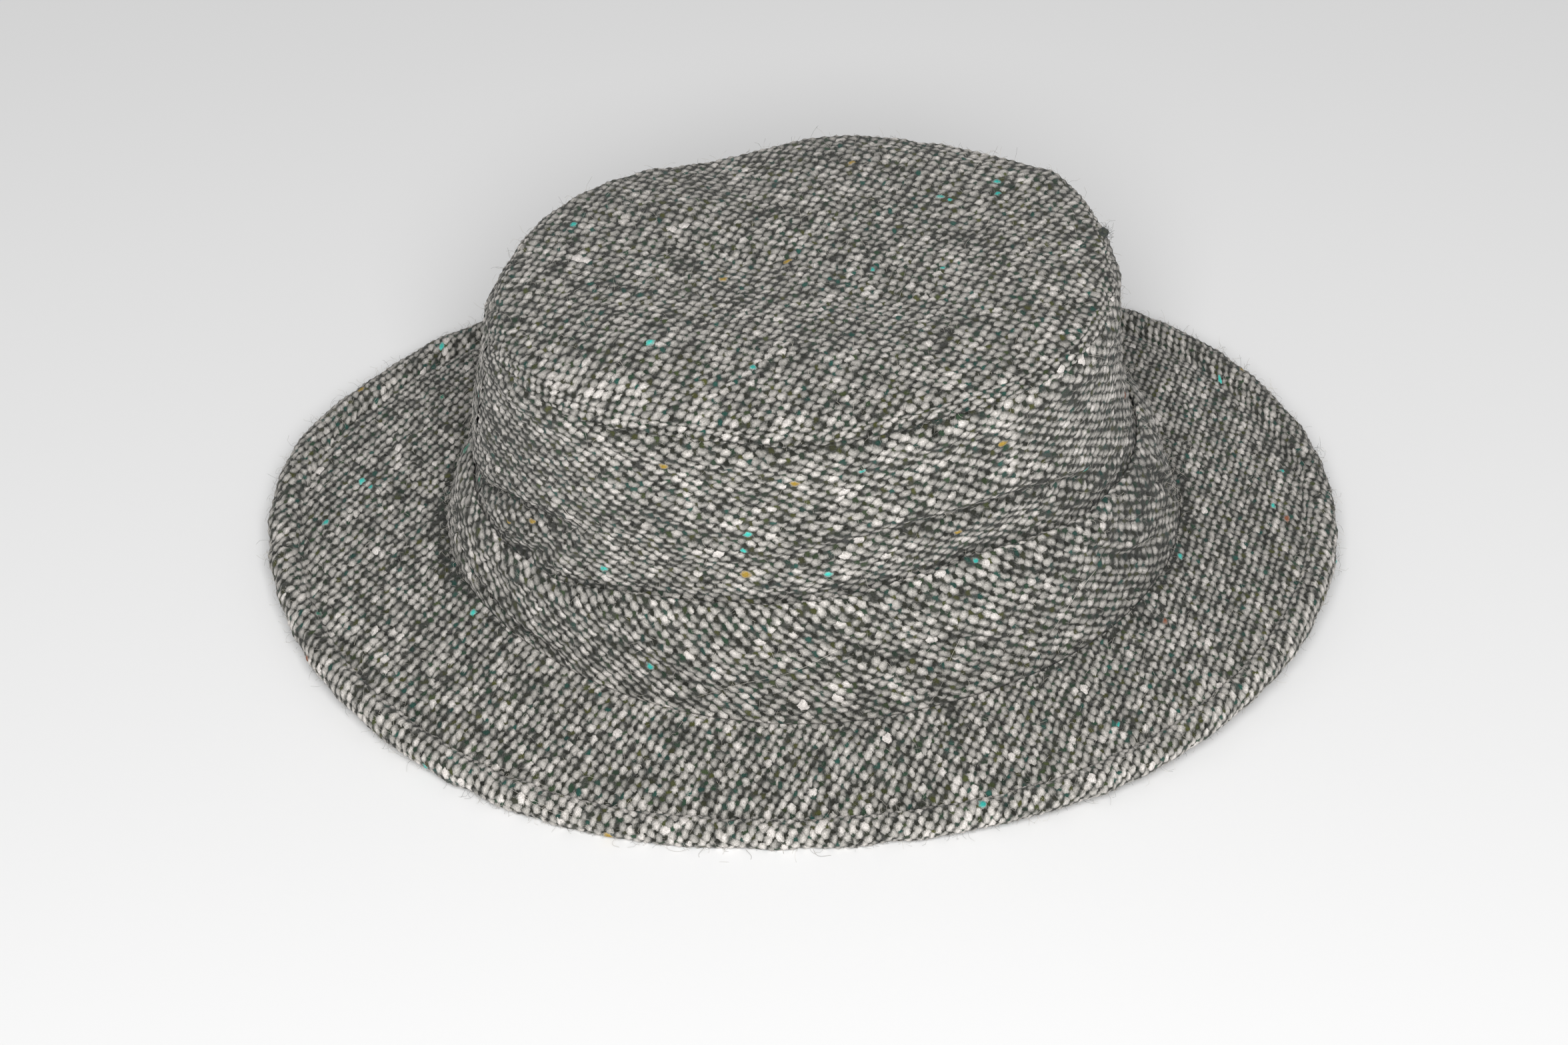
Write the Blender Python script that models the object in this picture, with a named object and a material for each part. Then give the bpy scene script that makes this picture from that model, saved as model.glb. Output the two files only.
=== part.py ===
"""A soft hat of coarse tweed, lying by itself on a level surface.

The real hat is sewn from four pieces of cloth. An oval tip closes the crown, a leaning wall carries it,
a strip of the same cloth is wrapped round the foot of the wall, and an oval brim with a padded, turned
edge is sewn to it all round. Each piece is a hollow or flat wall of cloth, and the crown is open below.

Lengths are in metres. +X is the long axis, from the wearer's back to front, +Z is up, and the surface is
z = 0. Angles run round +Z from +X, so 270 degrees is the long side that the folds below were studied from.
"""
import math

import bmesh
import bpy

# The crown: the wall's outside at its foot, the tip's outside at its seam, and the heights of both.
FOOT_LENGTH = 0.2042
FOOT_WIDTH = 0.1574
TIP_LENGTH = 0.1756
TIP_WIDTH = 0.1352
FOOT_HEIGHT = 0.0095
FOOT_LIFT = 0.003
CROWN_HEIGHT = 0.0872
CROWN_SHIFT = 0.002
CLOTH = 0.002

# The tip: how far it turns down to its seam, how far it swells, and how its ends and sides lie.
TURN_DOWN = 0.0065
TIP_SWELL = 0.002
TIP_RISE_END = 0.0055
TIP_RISE_SIDE = 0.0024
TIP_DENT = 0.003
SEAM_WAVE = 0.002

# The band: its height, its thickness, and how far its folded top edge swells.
BAND_HEIGHT = 0.038
BAND_CLOTH = 0.003
BAND_SWELL = 0.0012

# The brim: its width past the band at the ends and at the sides, its two pressed layers and its padded edge.
BRIM_END = 0.0476
BRIM_SIDE = 0.0391
BRIM_CLOTH = 0.003
EDGE_WIDTH = 0.009
EDGE_HEIGHT = 0.0066
EDGE_PRESS = 0.0008
EDGE_LIFT = 0.010
GROOVE = 0.0005

# The soft shape of the crown wall: the depth of its deepest fold.
FOLD_DEPTH = 0.004

# Sewn pieces meet with this clearance, and the brim's level seat reaches this far past the band.
GAP = 0.0003
SEAT_MARGIN = 0.001

SEGMENTS = 72
OVAL_POWER = 2.06

# Outlines, as columns of angle in degrees and share of a true oval.
TIP_OUTLINE = (
    (0, 0.998), (20, 0.978), (42, 0.962), (62, 0.975), (82, 0.998), (108, 0.962), (125, 0.992),
    (142, 0.998), (162, 0.982), (180, 0.992), (200, 1.010), (225, 1.015), (248, 0.998), (270, 1.012),
    (297, 0.982), (320, 1.015), (342, 1.010),
)
FOOT_OUTLINE = (
    (0, 1.012), (16, 1.006), (32, 0.990), (60, 0.985), (90, 1.000), (120, 0.984), (145, 0.975),
    (164, 0.978), (180, 0.982), (192, 0.974), (206, 0.955), (218, 0.948), (232, 0.960), (246, 0.978),
    (258, 0.992), (270, 1.000), (292, 0.980), (312, 0.982), (333, 0.992), (347, 1.006),
)
BRIM_OUTLINE = (
    (0, 1.000), (26, 0.998), (46, 1.014), (90, 0.995), (133, 0.998), (147, 0.988), (162, 1.004),
    (180, 1.000), (197, 0.992), (213, 0.996), (228, 1.000), (246, 1.008), (264, 0.995), (280, 0.997),
    (300, 1.012), (320, 1.010), (342, 1.007),
)

# Columns of angle in degrees and share: the brim edge's lift, the band's height and the tip seam's wave.
LIFT_ROUND = (
    (0, 1.05), (30, 0.68), (60, 0.12), (90, 0.0), (120, 0.12), (150, 0.66), (180, 0.85), (210, 0.58),
    (240, 0.12), (270, 0.02), (300, 0.40), (330, 0.92),
)
BAND_ROUND = (
    (0, 0.88), (45, 0.86), (90, 0.86), (135, 0.82), (180, 0.70), (205, 0.66), (224, 0.70), (240, 0.86),
    (255, 0.92), (270, 0.98), (285, 1.04), (300, 1.06), (316, 1.02), (335, 0.94),
)
WAVE_ROUND = (
    (0, 0.0), (35, 0.2), (60, 0.3), (85, 0.1), (108, -1.0), (130, 0.1), (150, 0.3), (190, 0.0),
    (250, 0.2), (300, -0.2),
)

# The wall above the band, in columns of height share and share of the lean from the foot to the tip.
WALL_LEAN = (
    (0.0, 0.0), (0.12, 0.20), (0.25, 0.42), (0.38, 0.62), (0.50, 0.68), (0.68, 0.80), (0.85, 0.90),
    (1.0, 1.0),
)
# The wall's rows over the band, as shares of the way from the band's top to the seam.
WALL_ROWS = (0.12, 0.30, 0.50, 0.70, 0.86, 0.95, 1.0)
# The band's rows, in columns of height share and share of its swell.
BAND_ROWS = ((0.0, 0.0), (0.22, 0.5), (0.48, 0.9), (0.74, 1.0), (0.92, 0.7), (1.0, -0.6))
# The tip's rows, in columns of share of its reach, share of its turn down, and share of a square turn.
TIP_ROWS = (
    (0.20, 0.0, 0.0), (0.40, 0.0, 0.0), (0.58, 0.02, 0.04), (0.73, 0.09, 0.12), (0.85, 0.24, 0.25),
    (0.93, 0.46, 0.42), (0.98, 0.74, 0.62), (1.0, 1.0, 1.0),
)
# The brim's rows from the band to the padded edge, in columns of share of the way out and of the way down.
BRIM_ROWS = ((0.0, 0.0), (0.2, 0.14), (0.4, 0.33), (0.6, 0.55), (0.8, 0.78), (1.0, 1.0))
# The padded edge's section, as angles in degrees from its outermost point.
EDGE_ROWS = (140, 105, 75, 45, 15, -15, -45, -75, -105, -140)

# Folds and dents of the wall, in columns of angle, height share, lean of the fold in height share for each
# degree, spread in degrees, spread in height share, and depth share. Negative depths go inwards.
WALL_FOLDS = (
    (208, 0.46, 0.004, 15, 0.06, -0.7),
    (219, 0.45, 0.012, 8, 0.07, -0.4),
    (186, 0.60, 0.0, 24, 0.22, 0.6),
    (0, 0.52, 0.0, 26, 0.22, 0.4),
    (312, 0.52, 0.004, 22, 0.08, -0.5),
    (283, 0.24, -0.010, 10, 0.07, -0.25),
    (285, 0.72, 0.002, 20, 0.12, 0.4),
    (240, 0.70, 0.0, 16, 0.14, 0.4),
    (60, 0.55, 0.003, 20, 0.12, -0.5),
    (130, 0.60, -0.003, 22, 0.14, 0.5),
)
# Dents of the tip, in columns of place along X and Y in shares of its half sizes, spread and depth share.
TIP_DENTS = (
    (-0.16, 0.05, 0.22, -0.8),
    (0.28, -0.22, 0.20, -0.6),
    (-0.60, -0.30, 0.25, 0.5),
    (0.05, -0.60, 0.22, 0.4),
    (0.55, 0.35, 0.30, -0.5),
    (-0.25, 0.75, 0.20, -0.7),
)

TWEED = ("tweed", (0.33, 0.33, 0.31), 0.95)


def around(table, angle):
    """Return the smooth value at an angle in degrees, from rows of angle and share that close in a circle."""
    count = len(table)
    for index in range(count):
        start, value = table[index]
        span = (table[(index + 1) % count][0] - start) % 360
        step = (angle - start) % 360
        if step <= span:
            break
    before = table[index - 1]
    after = table[(index + 1) % count]
    last = table[(index + 2) % count]
    slope_in = (after[1] - before[1]) / ((after[0] - before[0]) % 360)
    slope_out = (last[1] - value) / ((last[0] - start) % 360)
    s = step / span
    rise = after[1] - value
    ease = s * s * (3 - 2 * s)
    return value + rise * ease + span * (slope_in * s * (1 - s) ** 2 - slope_out * s * s * (1 - s))


def between(table, place):
    """Return the value at a place from rows of place and value, in straight steps."""
    for (low, start), (high, end) in zip(table, table[1:]):
        if place <= high:
            break
    return start + (end - start) * (place - low) / (high - low)


def oval(angle, half_length, half_width, share, out):
    """Return the plan point of a soft oval at an angle in degrees, pushed outwards by a length."""
    c = math.cos(math.radians(angle))
    s = math.sin(math.radians(angle))
    round_share = share * (abs(c) ** OVAL_POWER + abs(s) ** OVAL_POWER) ** (-1 / OVAL_POWER)
    normal = math.hypot(half_width * c, half_length * s)
    x = half_length * c * round_share + out * half_width * c / normal
    y = half_width * s * round_share + out * half_length * s / normal
    return x + CROWN_SHIFT, y


def foot_height(angle):
    """Height of the brim's top where the crown stands on it. It lifts a little with the brim's edge."""
    return FOOT_HEIGHT + FOOT_LIFT * around(LIFT_ROUND, angle)


def plane_height(share, angle):
    """Height of the tip's own plane, at a share of the way from its middle to its seam."""
    turn = math.radians(angle)
    tilt = TIP_RISE_END * math.cos(turn) - TIP_RISE_SIDE * math.sin(turn)
    return FOOT_HEIGHT + CROWN_HEIGHT + share * tilt + share * share * SEAM_WAVE * around(WAVE_ROUND, angle)


def fold_reach(angle, share):
    """How far the folds push the wall outwards at an angle and a height share. The sewn edges stay put."""
    fade = min(1.0, share / 0.15) * min(1.0, (1 - share) / 0.12)
    total = 0.0
    for middle, height, lean, spread, rise, depth in WALL_FOLDS:
        turn = (angle - middle + 180) % 360 - 180
        across = (share - height - lean * turn) / rise
        total += depth * math.exp(-(turn / spread) ** 2 - across ** 2)
    return FOLD_DEPTH * fade * total


def wall_point(angle, share, out):
    """Return the wall's point at an angle and a height share, pushed outwards by a length."""
    lean = between(WALL_LEAN, share)
    half_length = (FOOT_LENGTH + (TIP_LENGTH - FOOT_LENGTH) * lean) / 2
    half_width = (FOOT_WIDTH + (TIP_WIDTH - FOOT_WIDTH) * lean) / 2
    outline = around(FOOT_OUTLINE, angle) * (1 - lean) + around(TIP_OUTLINE, angle) * lean
    x, y = oval(angle, half_length, half_width, outline, out + fold_reach(angle, share))
    low = foot_height(angle) + GAP
    return x, y, low + (plane_height(1.0, angle) - low) * share


def band_top(angle):
    """Height share of the wall that the band covers at an angle."""
    return BAND_HEIGHT * around(BAND_ROUND, angle) / CROWN_HEIGHT


def wall_share(row, angle):
    """Height share of a row of the wall: first the band's own rows, then the rows over it."""
    top = band_top(angle)
    if row < len(BAND_ROWS):
        return top * BAND_ROWS[row][0]
    return top + (1 - top) * WALL_ROWS[row - len(BAND_ROWS)]


def crown_wall_point(row, angle):
    """Rows run up the outside and back down the inside."""
    count = len(BAND_ROWS) + len(WALL_ROWS)
    if row < count:
        return wall_point(angle, wall_share(row, angle), 0.0)
    return wall_point(angle, wall_share(2 * count - 1 - row, angle), -CLOTH)


def hat_band_point(row, angle):
    """Rows run up the swelling outside and back down the side that lies on the wall."""
    count = len(BAND_ROWS)
    if row < count:
        height, swell = BAND_ROWS[row]
        return wall_point(angle, band_top(angle) * height, GAP + BAND_CLOTH + BAND_SWELL * swell)
    height = BAND_ROWS[2 * count - 1 - row][0]
    return wall_point(angle, band_top(angle) * height, GAP)


def tip_dent(x_share, y_share):
    """How far the dents lift the tip at a place, in metres."""
    total = 0.0
    for x_middle, y_middle, spread, depth in TIP_DENTS:
        total += depth * math.exp(-((x_share - x_middle) ** 2 + (y_share - y_middle) ** 2) / spread ** 2)
    return TIP_DENT * total


def crown_tip_point(row, angle):
    """Rows run out over the top, down to the seam, and back in under it."""
    count = len(TIP_ROWS)
    upper = row < count
    reach, down, turn = TIP_ROWS[row if upper else 2 * count - 1 - row]
    thick = 0.0 if upper else CLOTH
    slope = math.radians(90 * turn)
    outline = around(TIP_OUTLINE, angle)
    share = 1 + (outline - 1) * reach
    x, y = oval(angle, TIP_LENGTH / 2 * reach, TIP_WIDTH / 2 * reach, share, -thick * math.sin(slope))
    x_share = reach * math.cos(math.radians(angle))
    y_share = reach * math.sin(math.radians(angle))
    soft = TIP_SWELL * (1 - reach * reach) + (1 - reach ** 6) * tip_dent(x_share, y_share)
    z = plane_height(reach, angle) + GAP + TURN_DOWN * (1 - down) + soft - thick * math.cos(slope)
    return x, y, z


def brim_sheet(angle, way, drop, layer):
    """Return a point of the brim's sheet, from the level seat under the crown out to the padded edge."""
    seat_out = GAP + BAND_CLOTH + BAND_SWELL + SEAT_MARGIN
    inner = oval(angle, FOOT_LENGTH / 2, FOOT_WIDTH / 2, around(FOOT_OUTLINE, angle), seat_out)
    outer = edge_middle(angle, -EDGE_WIDTH / 2)
    x = inner[0] + (outer[0] - inner[0]) * way
    y = inner[1] + (outer[1] - inner[1]) * way
    low = outer[2] + BRIM_CLOTH / 2
    return x, y, foot_height(angle) + (low - foot_height(angle)) * drop - layer


def edge_middle(angle, out):
    """Return the middle of the padded edge's section, pushed outwards by a length."""
    half_length = FOOT_LENGTH / 2 + GAP + BAND_CLOTH + BRIM_END
    half_width = FOOT_WIDTH / 2 + GAP + BAND_CLOTH + BRIM_SIDE
    x, y = oval(angle, half_length, half_width, around(BRIM_OUTLINE, angle), out - EDGE_WIDTH / 2)
    return x - CROWN_SHIFT, y, EDGE_HEIGHT / 2 - EDGE_PRESS + EDGE_LIFT * around(LIFT_ROUND, angle)


def brim_point(row, angle):
    """Rows run from the head opening over the top, round the padded edge and back underneath."""
    sheet = len(BRIM_ROWS)
    edge = len(EDGE_ROWS)
    if row == 0 or row == 2 * sheet + edge + 1:
        x, y = oval(angle, FOOT_LENGTH / 2, FOOT_WIDTH / 2, around(FOOT_OUTLINE, angle), -CLOTH)
        return x, y, foot_height(angle) - (BRIM_CLOTH if row else 0.0)
    if row <= sheet:
        way, drop = BRIM_ROWS[row - 1]
        return brim_sheet(angle, way, drop, GROOVE if way == 1.0 else 0.0)
    if row <= sheet + edge:
        turn = math.radians(EDGE_ROWS[row - sheet - 1])
        x, y, z = edge_middle(angle, EDGE_WIDTH / 2 * math.cos(turn))
        return x, y, max(0.0, z + EDGE_HEIGHT / 2 * math.sin(turn))
    way, drop = BRIM_ROWS[2 * sheet + edge - row]
    return brim_sheet(angle, way, drop, BRIM_CLOTH)


def cut_squares(bm, rows):
    """Cut each square of the sleeve in two, the same way on both faces of the cloth, so that layers nest."""
    for face in list(bm.faces):
        low = min(round(vert.co.z) for vert in face.verts)
        level = [vert for vert in face.verts if round(vert.co.z) == low]
        if len(face.verts) != 4 or len(level) != 2:
            continue
        first, second = level
        if first.co.xy.cross(second.co.xy) < 0:
            first, second = second, first
        corners = list(face.verts)
        start = corners.index(first if low < rows / 2 - 1 else second)
        bmesh.utils.face_split(face, corners[start], corners[(start + 2) % 4])


def cloth_piece(name, place, rows, closed):
    """Make one piece: a straight sleeve of rings is extruded, and each ring is then moved to its section.

    A closed piece is a ring with an opening through it. Otherwise the first and last rings are filled.
    """
    mesh = bpy.data.meshes.new(name)
    bm = bmesh.new()
    bmesh.ops.create_circle(bm, segments=SEGMENTS, radius=1.0)
    first = list(bm.edges)
    ring = first
    for _ in range(rows - 1):
        made = bmesh.ops.extrude_edge_only(bm, edges=ring)["geom"]
        ring = [item for item in made if isinstance(item, bmesh.types.BMEdge)]
        moved = [item for item in made if isinstance(item, bmesh.types.BMVert)]
        bmesh.ops.translate(bm, verts=moved, vec=(0.0, 0.0, 1.0))
    if closed:
        bmesh.ops.bridge_loops(bm, edges=first + ring)
    else:
        for loop in (first, ring):
            lid = bmesh.ops.edgeloop_fill(bm, edges=loop)["faces"]
            bmesh.ops.poke(bm, faces=lid)
    cut_squares(bm, rows)
    middles = []
    for vert in bm.verts:
        row = round(vert.co.z)
        if vert.co.xy.length < 0.5:
            middles.append((vert, row))
            continue
        angle = math.degrees(math.atan2(vert.co.y, vert.co.x)) % 360
        vert.co = place(row, angle)
    for vert, row in middles:
        around_it = [edge.other_vert(vert).co for edge in vert.link_edges]
        vert.co = sum(around_it, around_it[0] * 0.0) / len(around_it)
    bmesh.ops.recalc_face_normals(bm, faces=bm.faces)
    if bm.calc_volume(signed=True) < 0:
        bmesh.ops.reverse_faces(bm, faces=bm.faces)
    bm.to_mesh(mesh)
    bm.free()
    mesh.shade_smooth()
    mesh.set_sharp_from_angle(angle=math.radians(50))
    piece = bpy.data.objects.new(name, mesh)
    bpy.context.collection.objects.link(piece)
    return piece


def add_material(piece, slot):
    """Give a piece its own soft, matt cloth material."""
    kind, colour, roughness = slot
    material = bpy.data.materials.new(piece.name + "_" + kind)
    material.use_nodes = True
    shader = material.node_tree.nodes["Principled BSDF"]
    shader.inputs["Base Color"].default_value = (*colour, 1.0)
    shader.inputs["Roughness"].default_value = roughness
    shader.inputs["Metallic"].default_value = 0.0
    piece.data.materials.append(material)


def main():
    """Clear the scene and make the hat's four pieces."""
    for item in list(bpy.data.objects):
        bpy.data.objects.remove(item, do_unlink=True)
    wall_rows = 2 * (len(BAND_ROWS) + len(WALL_ROWS))
    pieces = (
        ("crown_tip", crown_tip_point, 2 * len(TIP_ROWS), False),
        ("crown_wall", crown_wall_point, wall_rows, True),
        ("hat_band", hat_band_point, 2 * len(BAND_ROWS), True),
        ("brim", brim_point, 2 * len(BRIM_ROWS) + len(EDGE_ROWS) + 2, True),
    )
    for name, place, rows, closed in pieces:
        add_material(cloth_piece(name, place, rows, closed), TWEED)


main()
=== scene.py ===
# %% [markdown]
# # A soft hat of coarse tweed
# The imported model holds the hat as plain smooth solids. Here each piece of cloth is woven anew as a fine
# mesh over its solid, with threads in relief, and gets its flecked wool, its loose fibres and a studio. The
# solids stay underneath for the physics.

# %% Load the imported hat
import math

import bmesh
import bpy
import numpy as np
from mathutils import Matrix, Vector


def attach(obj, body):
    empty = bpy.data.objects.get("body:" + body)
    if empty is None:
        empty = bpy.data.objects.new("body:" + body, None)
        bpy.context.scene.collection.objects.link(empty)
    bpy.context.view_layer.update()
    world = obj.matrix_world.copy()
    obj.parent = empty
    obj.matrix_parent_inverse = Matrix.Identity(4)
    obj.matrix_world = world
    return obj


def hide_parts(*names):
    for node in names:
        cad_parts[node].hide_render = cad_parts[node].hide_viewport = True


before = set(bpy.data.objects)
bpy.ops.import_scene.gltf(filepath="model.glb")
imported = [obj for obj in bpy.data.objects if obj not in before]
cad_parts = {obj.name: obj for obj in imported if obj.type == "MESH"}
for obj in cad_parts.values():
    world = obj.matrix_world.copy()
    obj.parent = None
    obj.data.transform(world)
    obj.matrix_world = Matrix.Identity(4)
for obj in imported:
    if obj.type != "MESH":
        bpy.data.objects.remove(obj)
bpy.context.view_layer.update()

# %% [markdown]
# ## Sizes
# The real hat's driving sizes are the ones that its solids were made from, in metres: the foot and the tip
# of the crown, their heights, the cloth, the band and the brim. Shares of these sizes, in tables round the
# hat by angle, give its soft outline. Angle 0 is +X, the front of the hat, and 270 is the long side nearest
# the camera.

# %% Sizes of the hat
FOOT_LENGTH = 0.2042
FOOT_WIDTH = 0.1574
TIP_LENGTH = 0.1756
TIP_WIDTH = 0.1352
FOOT_HEIGHT = 0.0095
FOOT_LIFT = 0.003
CROWN_HEIGHT = 0.0872
CROWN_SHIFT = 0.002
CLOTH = 0.002
TURN_DOWN = 0.0065
TIP_SWELL = 0.002
TIP_RISE_END = 0.0055
TIP_RISE_SIDE = 0.0024
TIP_DENT = 0.003
SEAM_WAVE = 0.002
BAND_HEIGHT = 0.038
BAND_CLOTH = 0.003
BAND_SWELL = 0.0012
BRIM_END = 0.0476
BRIM_SIDE = 0.0391
BRIM_CLOTH = 0.003
EDGE_WIDTH = 0.009
EDGE_HEIGHT = 0.0066
EDGE_PRESS = 0.0008
EDGE_LIFT = 0.01
GROOVE = 0.001
FOLD_DEPTH = 0.004
GAP = 0.0003
SEAT_MARGIN = 0.001
OVAL_POWER = 2.06

# %% [markdown]
# ## Outlines and folds
# A soft hat is never a true oval. Each table has a column of angles and a column of shares, and a smooth
# curve runs through its rows and closes on itself. The folds are soft bumps and hollows at chosen places.

# %% Tables of the soft shape
TIP_OUTLINE = (
    (0, 0.966), (14, 0.975), (24, 0.991), (30, 1.005), (35, 1.02), (41, 1.002), (50, 0.987), (66, 0.981),
    (82, 0.998), (108, 0.962), (125, 0.992), (142, 0.998), (162, 0.982), (180, 0.992), (200, 1.01),
    (225, 1.015), (248, 0.998), (270, 1.012), (297, 0.982), (320, 1.008), (342, 0.986),
)
FOOT_OUTLINE = (
    (0, 1.012), (16, 1.006), (32, 0.99), (60, 0.985), (90, 1.0), (120, 0.984), (145, 0.975),
    (164, 0.978), (180, 0.982), (192, 0.974), (206, 0.955), (218, 0.948), (232, 0.96), (246, 0.978),
    (258, 0.992), (270, 1.0), (292, 0.98), (312, 0.982), (333, 0.992), (347, 1.006),
)
BRIM_OUTLINE = (
    (0, 1.0), (26, 0.998), (46, 1.014), (90, 0.995), (133, 0.998), (147, 0.988), (162, 1.004),
    (180, 1.0), (197, 0.992), (213, 0.996), (228, 1.0), (246, 1.008), (264, 0.995), (280, 0.997),
    (300, 1.012), (320, 1.01), (342, 1.007),
)
LIFT_ROUND = (
    (0, 1.05), (30, 0.68), (60, 0.12), (90, 0.0), (120, 0.12), (150, 0.66), (180, 0.85), (210, 0.58),
    (240, 0.12), (270, 0.02), (300, 0.4), (330, 0.92),
)
BAND_ROUND = (
    (0, 0.88), (45, 0.86), (90, 0.86), (135, 0.82), (180, 0.7), (205, 0.66), (224, 0.7), (240, 0.86),
    (255, 0.92), (270, 0.98), (285, 1.04), (300, 1.06), (316, 1.02), (335, 0.94),
)
WAVE_ROUND = (
    (0, 0.0), (35, 0.2), (60, 0.3), (85, 0.1), (108, -1.0), (130, 0.1), (150, 0.3), (190, 0.0),
    (250, 0.2), (300, -0.2),
)
# The next two don't go round the hat: they run up the wall and out over the brim.
WALL_LEAN = (
    (0.0, 0.0), (0.12, 0.2), (0.25, 0.42), (0.38, 0.62), (0.5, 0.68), (0.68, 0.8), (0.85, 0.9),
    (1.0, 1.0),
)
BRIM_DROP = ((0.0, 0.0), (0.2, 0.14), (0.4, 0.33), (0.6, 0.55), (0.8, 0.78), (1.0, 1.0))
# Columns of soft bumps: angle, height share, lean in height share for each degree, spread in degrees, spread
# in height share, and strength. The folds reach out by their strength, and negative ones go inwards.
WALL_FOLDS = (
    (208, 0.46, 0.004, 15, 0.06, -0.7),
    (219, 0.45, 0.012, 8, 0.07, -0.4),
    (186, 0.6, 0.0, 24, 0.22, 0.6),
    (0, 0.34, 0.0, 26, 0.12, 0.3),
    (8, 0.64, 0.0, 26, 0.2, -0.4),
    (312, 0.52, 0.004, 22, 0.08, -0.5),
    (283, 0.24, -0.01, 10, 0.07, -0.25),
    (285, 0.72, 0.002, 20, 0.12, 0.4),
    (240, 0.7, 0.0, 16, 0.14, 0.4),
    (60, 0.55, 0.003, 20, 0.12, -0.5),
    (130, 0.6, -0.003, 22, 0.14, 0.5),
)
# Spots of painted shade on the crown wall and band, drawn as the light yarn sinking, with the same columns.
SHADE_SPOTS = (
    (320, 0.49, 0.0, 9, 0.04, 0.5),
    (341, 0.33, 0.0, 6, 0.08, 0.9),
    (323, 0.93, 0.0, 5, 0.05, 0.3),
    (217, 0.515, 0.0, 8, 0.035, 0.6),
    (203, 0.62, 0.0, 18, 0.26, 0.25),
)
# Each crease has rows of angle and height share along it, its strength, and its spread in height share.
WALL_CREASES = (
    (
        ((256, 0.54), (269, 0.6), (280, 0.65), (295, 0.65), (311, 0.63), (327, 0.53), (350, 0.49)),
        0.34, 0.024,
    ),
    (((180, 0.33), (198, 0.41), (212, 0.5), (228, 0.53)), 0.4, 0.03),
    (((198, 0.2), (210, 0.27), (219, 0.38), (226, 0.48)), 0.3, 0.028),
    (((236, 0.72), (250, 0.66), (262, 0.64)), 0.2, 0.03),
)
BAND_CREASES = (
    (((272, 0.76), (280, 0.56), (286, 0.4)), 0.24, 0.055),
    (((291, 0.6), (297, 0.45), (303, 0.34)), 0.22, 0.05),
    (((234, 0.7), (247, 0.4), (258, 0.2)), 0.22, 0.07),
    (((320, 0.84), (330, 0.52), (343, 0.3)), 0.36, 0.065),
    (((186, 0.6), (200, 0.36), (214, 0.2), (228, 0.1)), 0.3, 0.07),
    (((342, 0.98), (348, 0.78), (355, 0.42), (362, 0.06)), 0.36, 0.09),
)
# Columns of the tip's dents: place along X and Y in shares of its half sizes, spread and strength.
TIP_DENTS = (
    (-0.16, 0.05, 0.22, -0.8),
    (0.28, -0.22, 0.2, -0.6),
    (-0.6, -0.3, 0.25, 0.5),
    (0.05, -0.6, 0.22, 0.4),
    (0.55, 0.35, 0.3, -0.5),
    (-0.25, 0.75, 0.2, -0.7),
    (0.76, 0.53, 0.07, 1.4),
    (-0.52, -0.5, 0.2, 0.8),
)
# How strongly painted shade darkens the sewn lines round the hat: the tip's seam, the band's top edge and
# the crown's foot.
SEAM_SHADE = (
    (0, 0.1), (60, 0.1), (120, 0.1), (180, 0.15), (212, 0.35), (230, 0.4), (262, 0.55), (275, 0.9),
    (297, 0.8), (312, 0.1),
)
BAND_EDGE_SHADE = (
    (0, 0.5), (60, 0.3), (150, 0.3), (200, 0.4), (230, 0.6), (250, 0.2), (268, 0.35), (285, 0.15),
    (300, 0.55), (318, 0.3), (332, 0.6),
)
FOOT_SHADE = (
    (0, 0.9), (12, 0.6), (60, 0.3), (140, 0.5), (165, 1.0), (196, 1.0), (212, 0.1), (285, 0.0), (300, 0.1),
    (318, 0.3), (333, 0.45), (347, 0.9),
)

# %% [markdown]
# ## Smooth curves through tables
# Straight lines between table rows would crease the cloth. A cubic through each pair of rows, with slopes
# taken from their neighbours, bends as cloth does. The tables round the hat close on themselves, so their
# first and last rows are repeated a turn away.

# %% Curves and ovals
def through(table, place):
    """Return a table's smooth value at each place."""
    places, values = np.array(table, float).T
    slopes = np.gradient(values, places)
    row = np.clip(np.searchsorted(places, place, side="right") - 1, 0, len(places) - 2)
    span = places[row + 1] - places[row]
    s = np.clip((place - places[row]) / span, 0, 1)
    rise = (values[row + 1] - values[row]) * s * s * (3 - 2 * s)
    bend = slopes[row] * s * (1 - s) ** 2 - slopes[row + 1] * s * s * (1 - s)
    return values[row] + rise + span * bend


def around(table, angle):
    """Return the smooth value at each angle of a table that closes on itself."""
    before = [(place - 360, value) for place, value in table[-2:]]
    after = [(place + 360, value) for place, value in table[:3]]
    return through(before + list(table) + after, np.mod(angle, 360))


def near(place, middle, reach):
    """Return 1 at the middle of a soft line, falling smoothly to nothing on both sides."""
    return np.exp(-((place - middle) / reach) ** 2)


def oval(angle, half_length, half_width, share, out):
    """Return plan points of a soft oval, pushed outwards by a length."""
    c = np.cos(np.radians(angle))
    s = np.sin(np.radians(angle))
    soft = share * (np.abs(c) ** OVAL_POWER + np.abs(s) ** OVAL_POWER) ** (-1 / OVAL_POWER)
    normal = np.hypot(half_width * c, half_length * s)
    x = half_length * c * soft + out * half_width * c / normal
    y = half_width * s * soft + out * half_length * s / normal
    return x + CROWN_SHIFT, y


def foot_height(angle):
    """Height of the brim's top where the crown stands on it."""
    return FOOT_HEIGHT + FOOT_LIFT * around(LIFT_ROUND, angle)


def seam_height(share, angle):
    """Height of the tip's plane, at a share of the way to its seam."""
    turn = np.radians(angle)
    tilt = TIP_RISE_END * np.cos(turn) - TIP_RISE_SIDE * np.sin(turn)
    wave = share * share * SEAM_WAVE * around(WAVE_ROUND, angle)
    return FOOT_HEIGHT + CROWN_HEIGHT + share * tilt + wave


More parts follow.
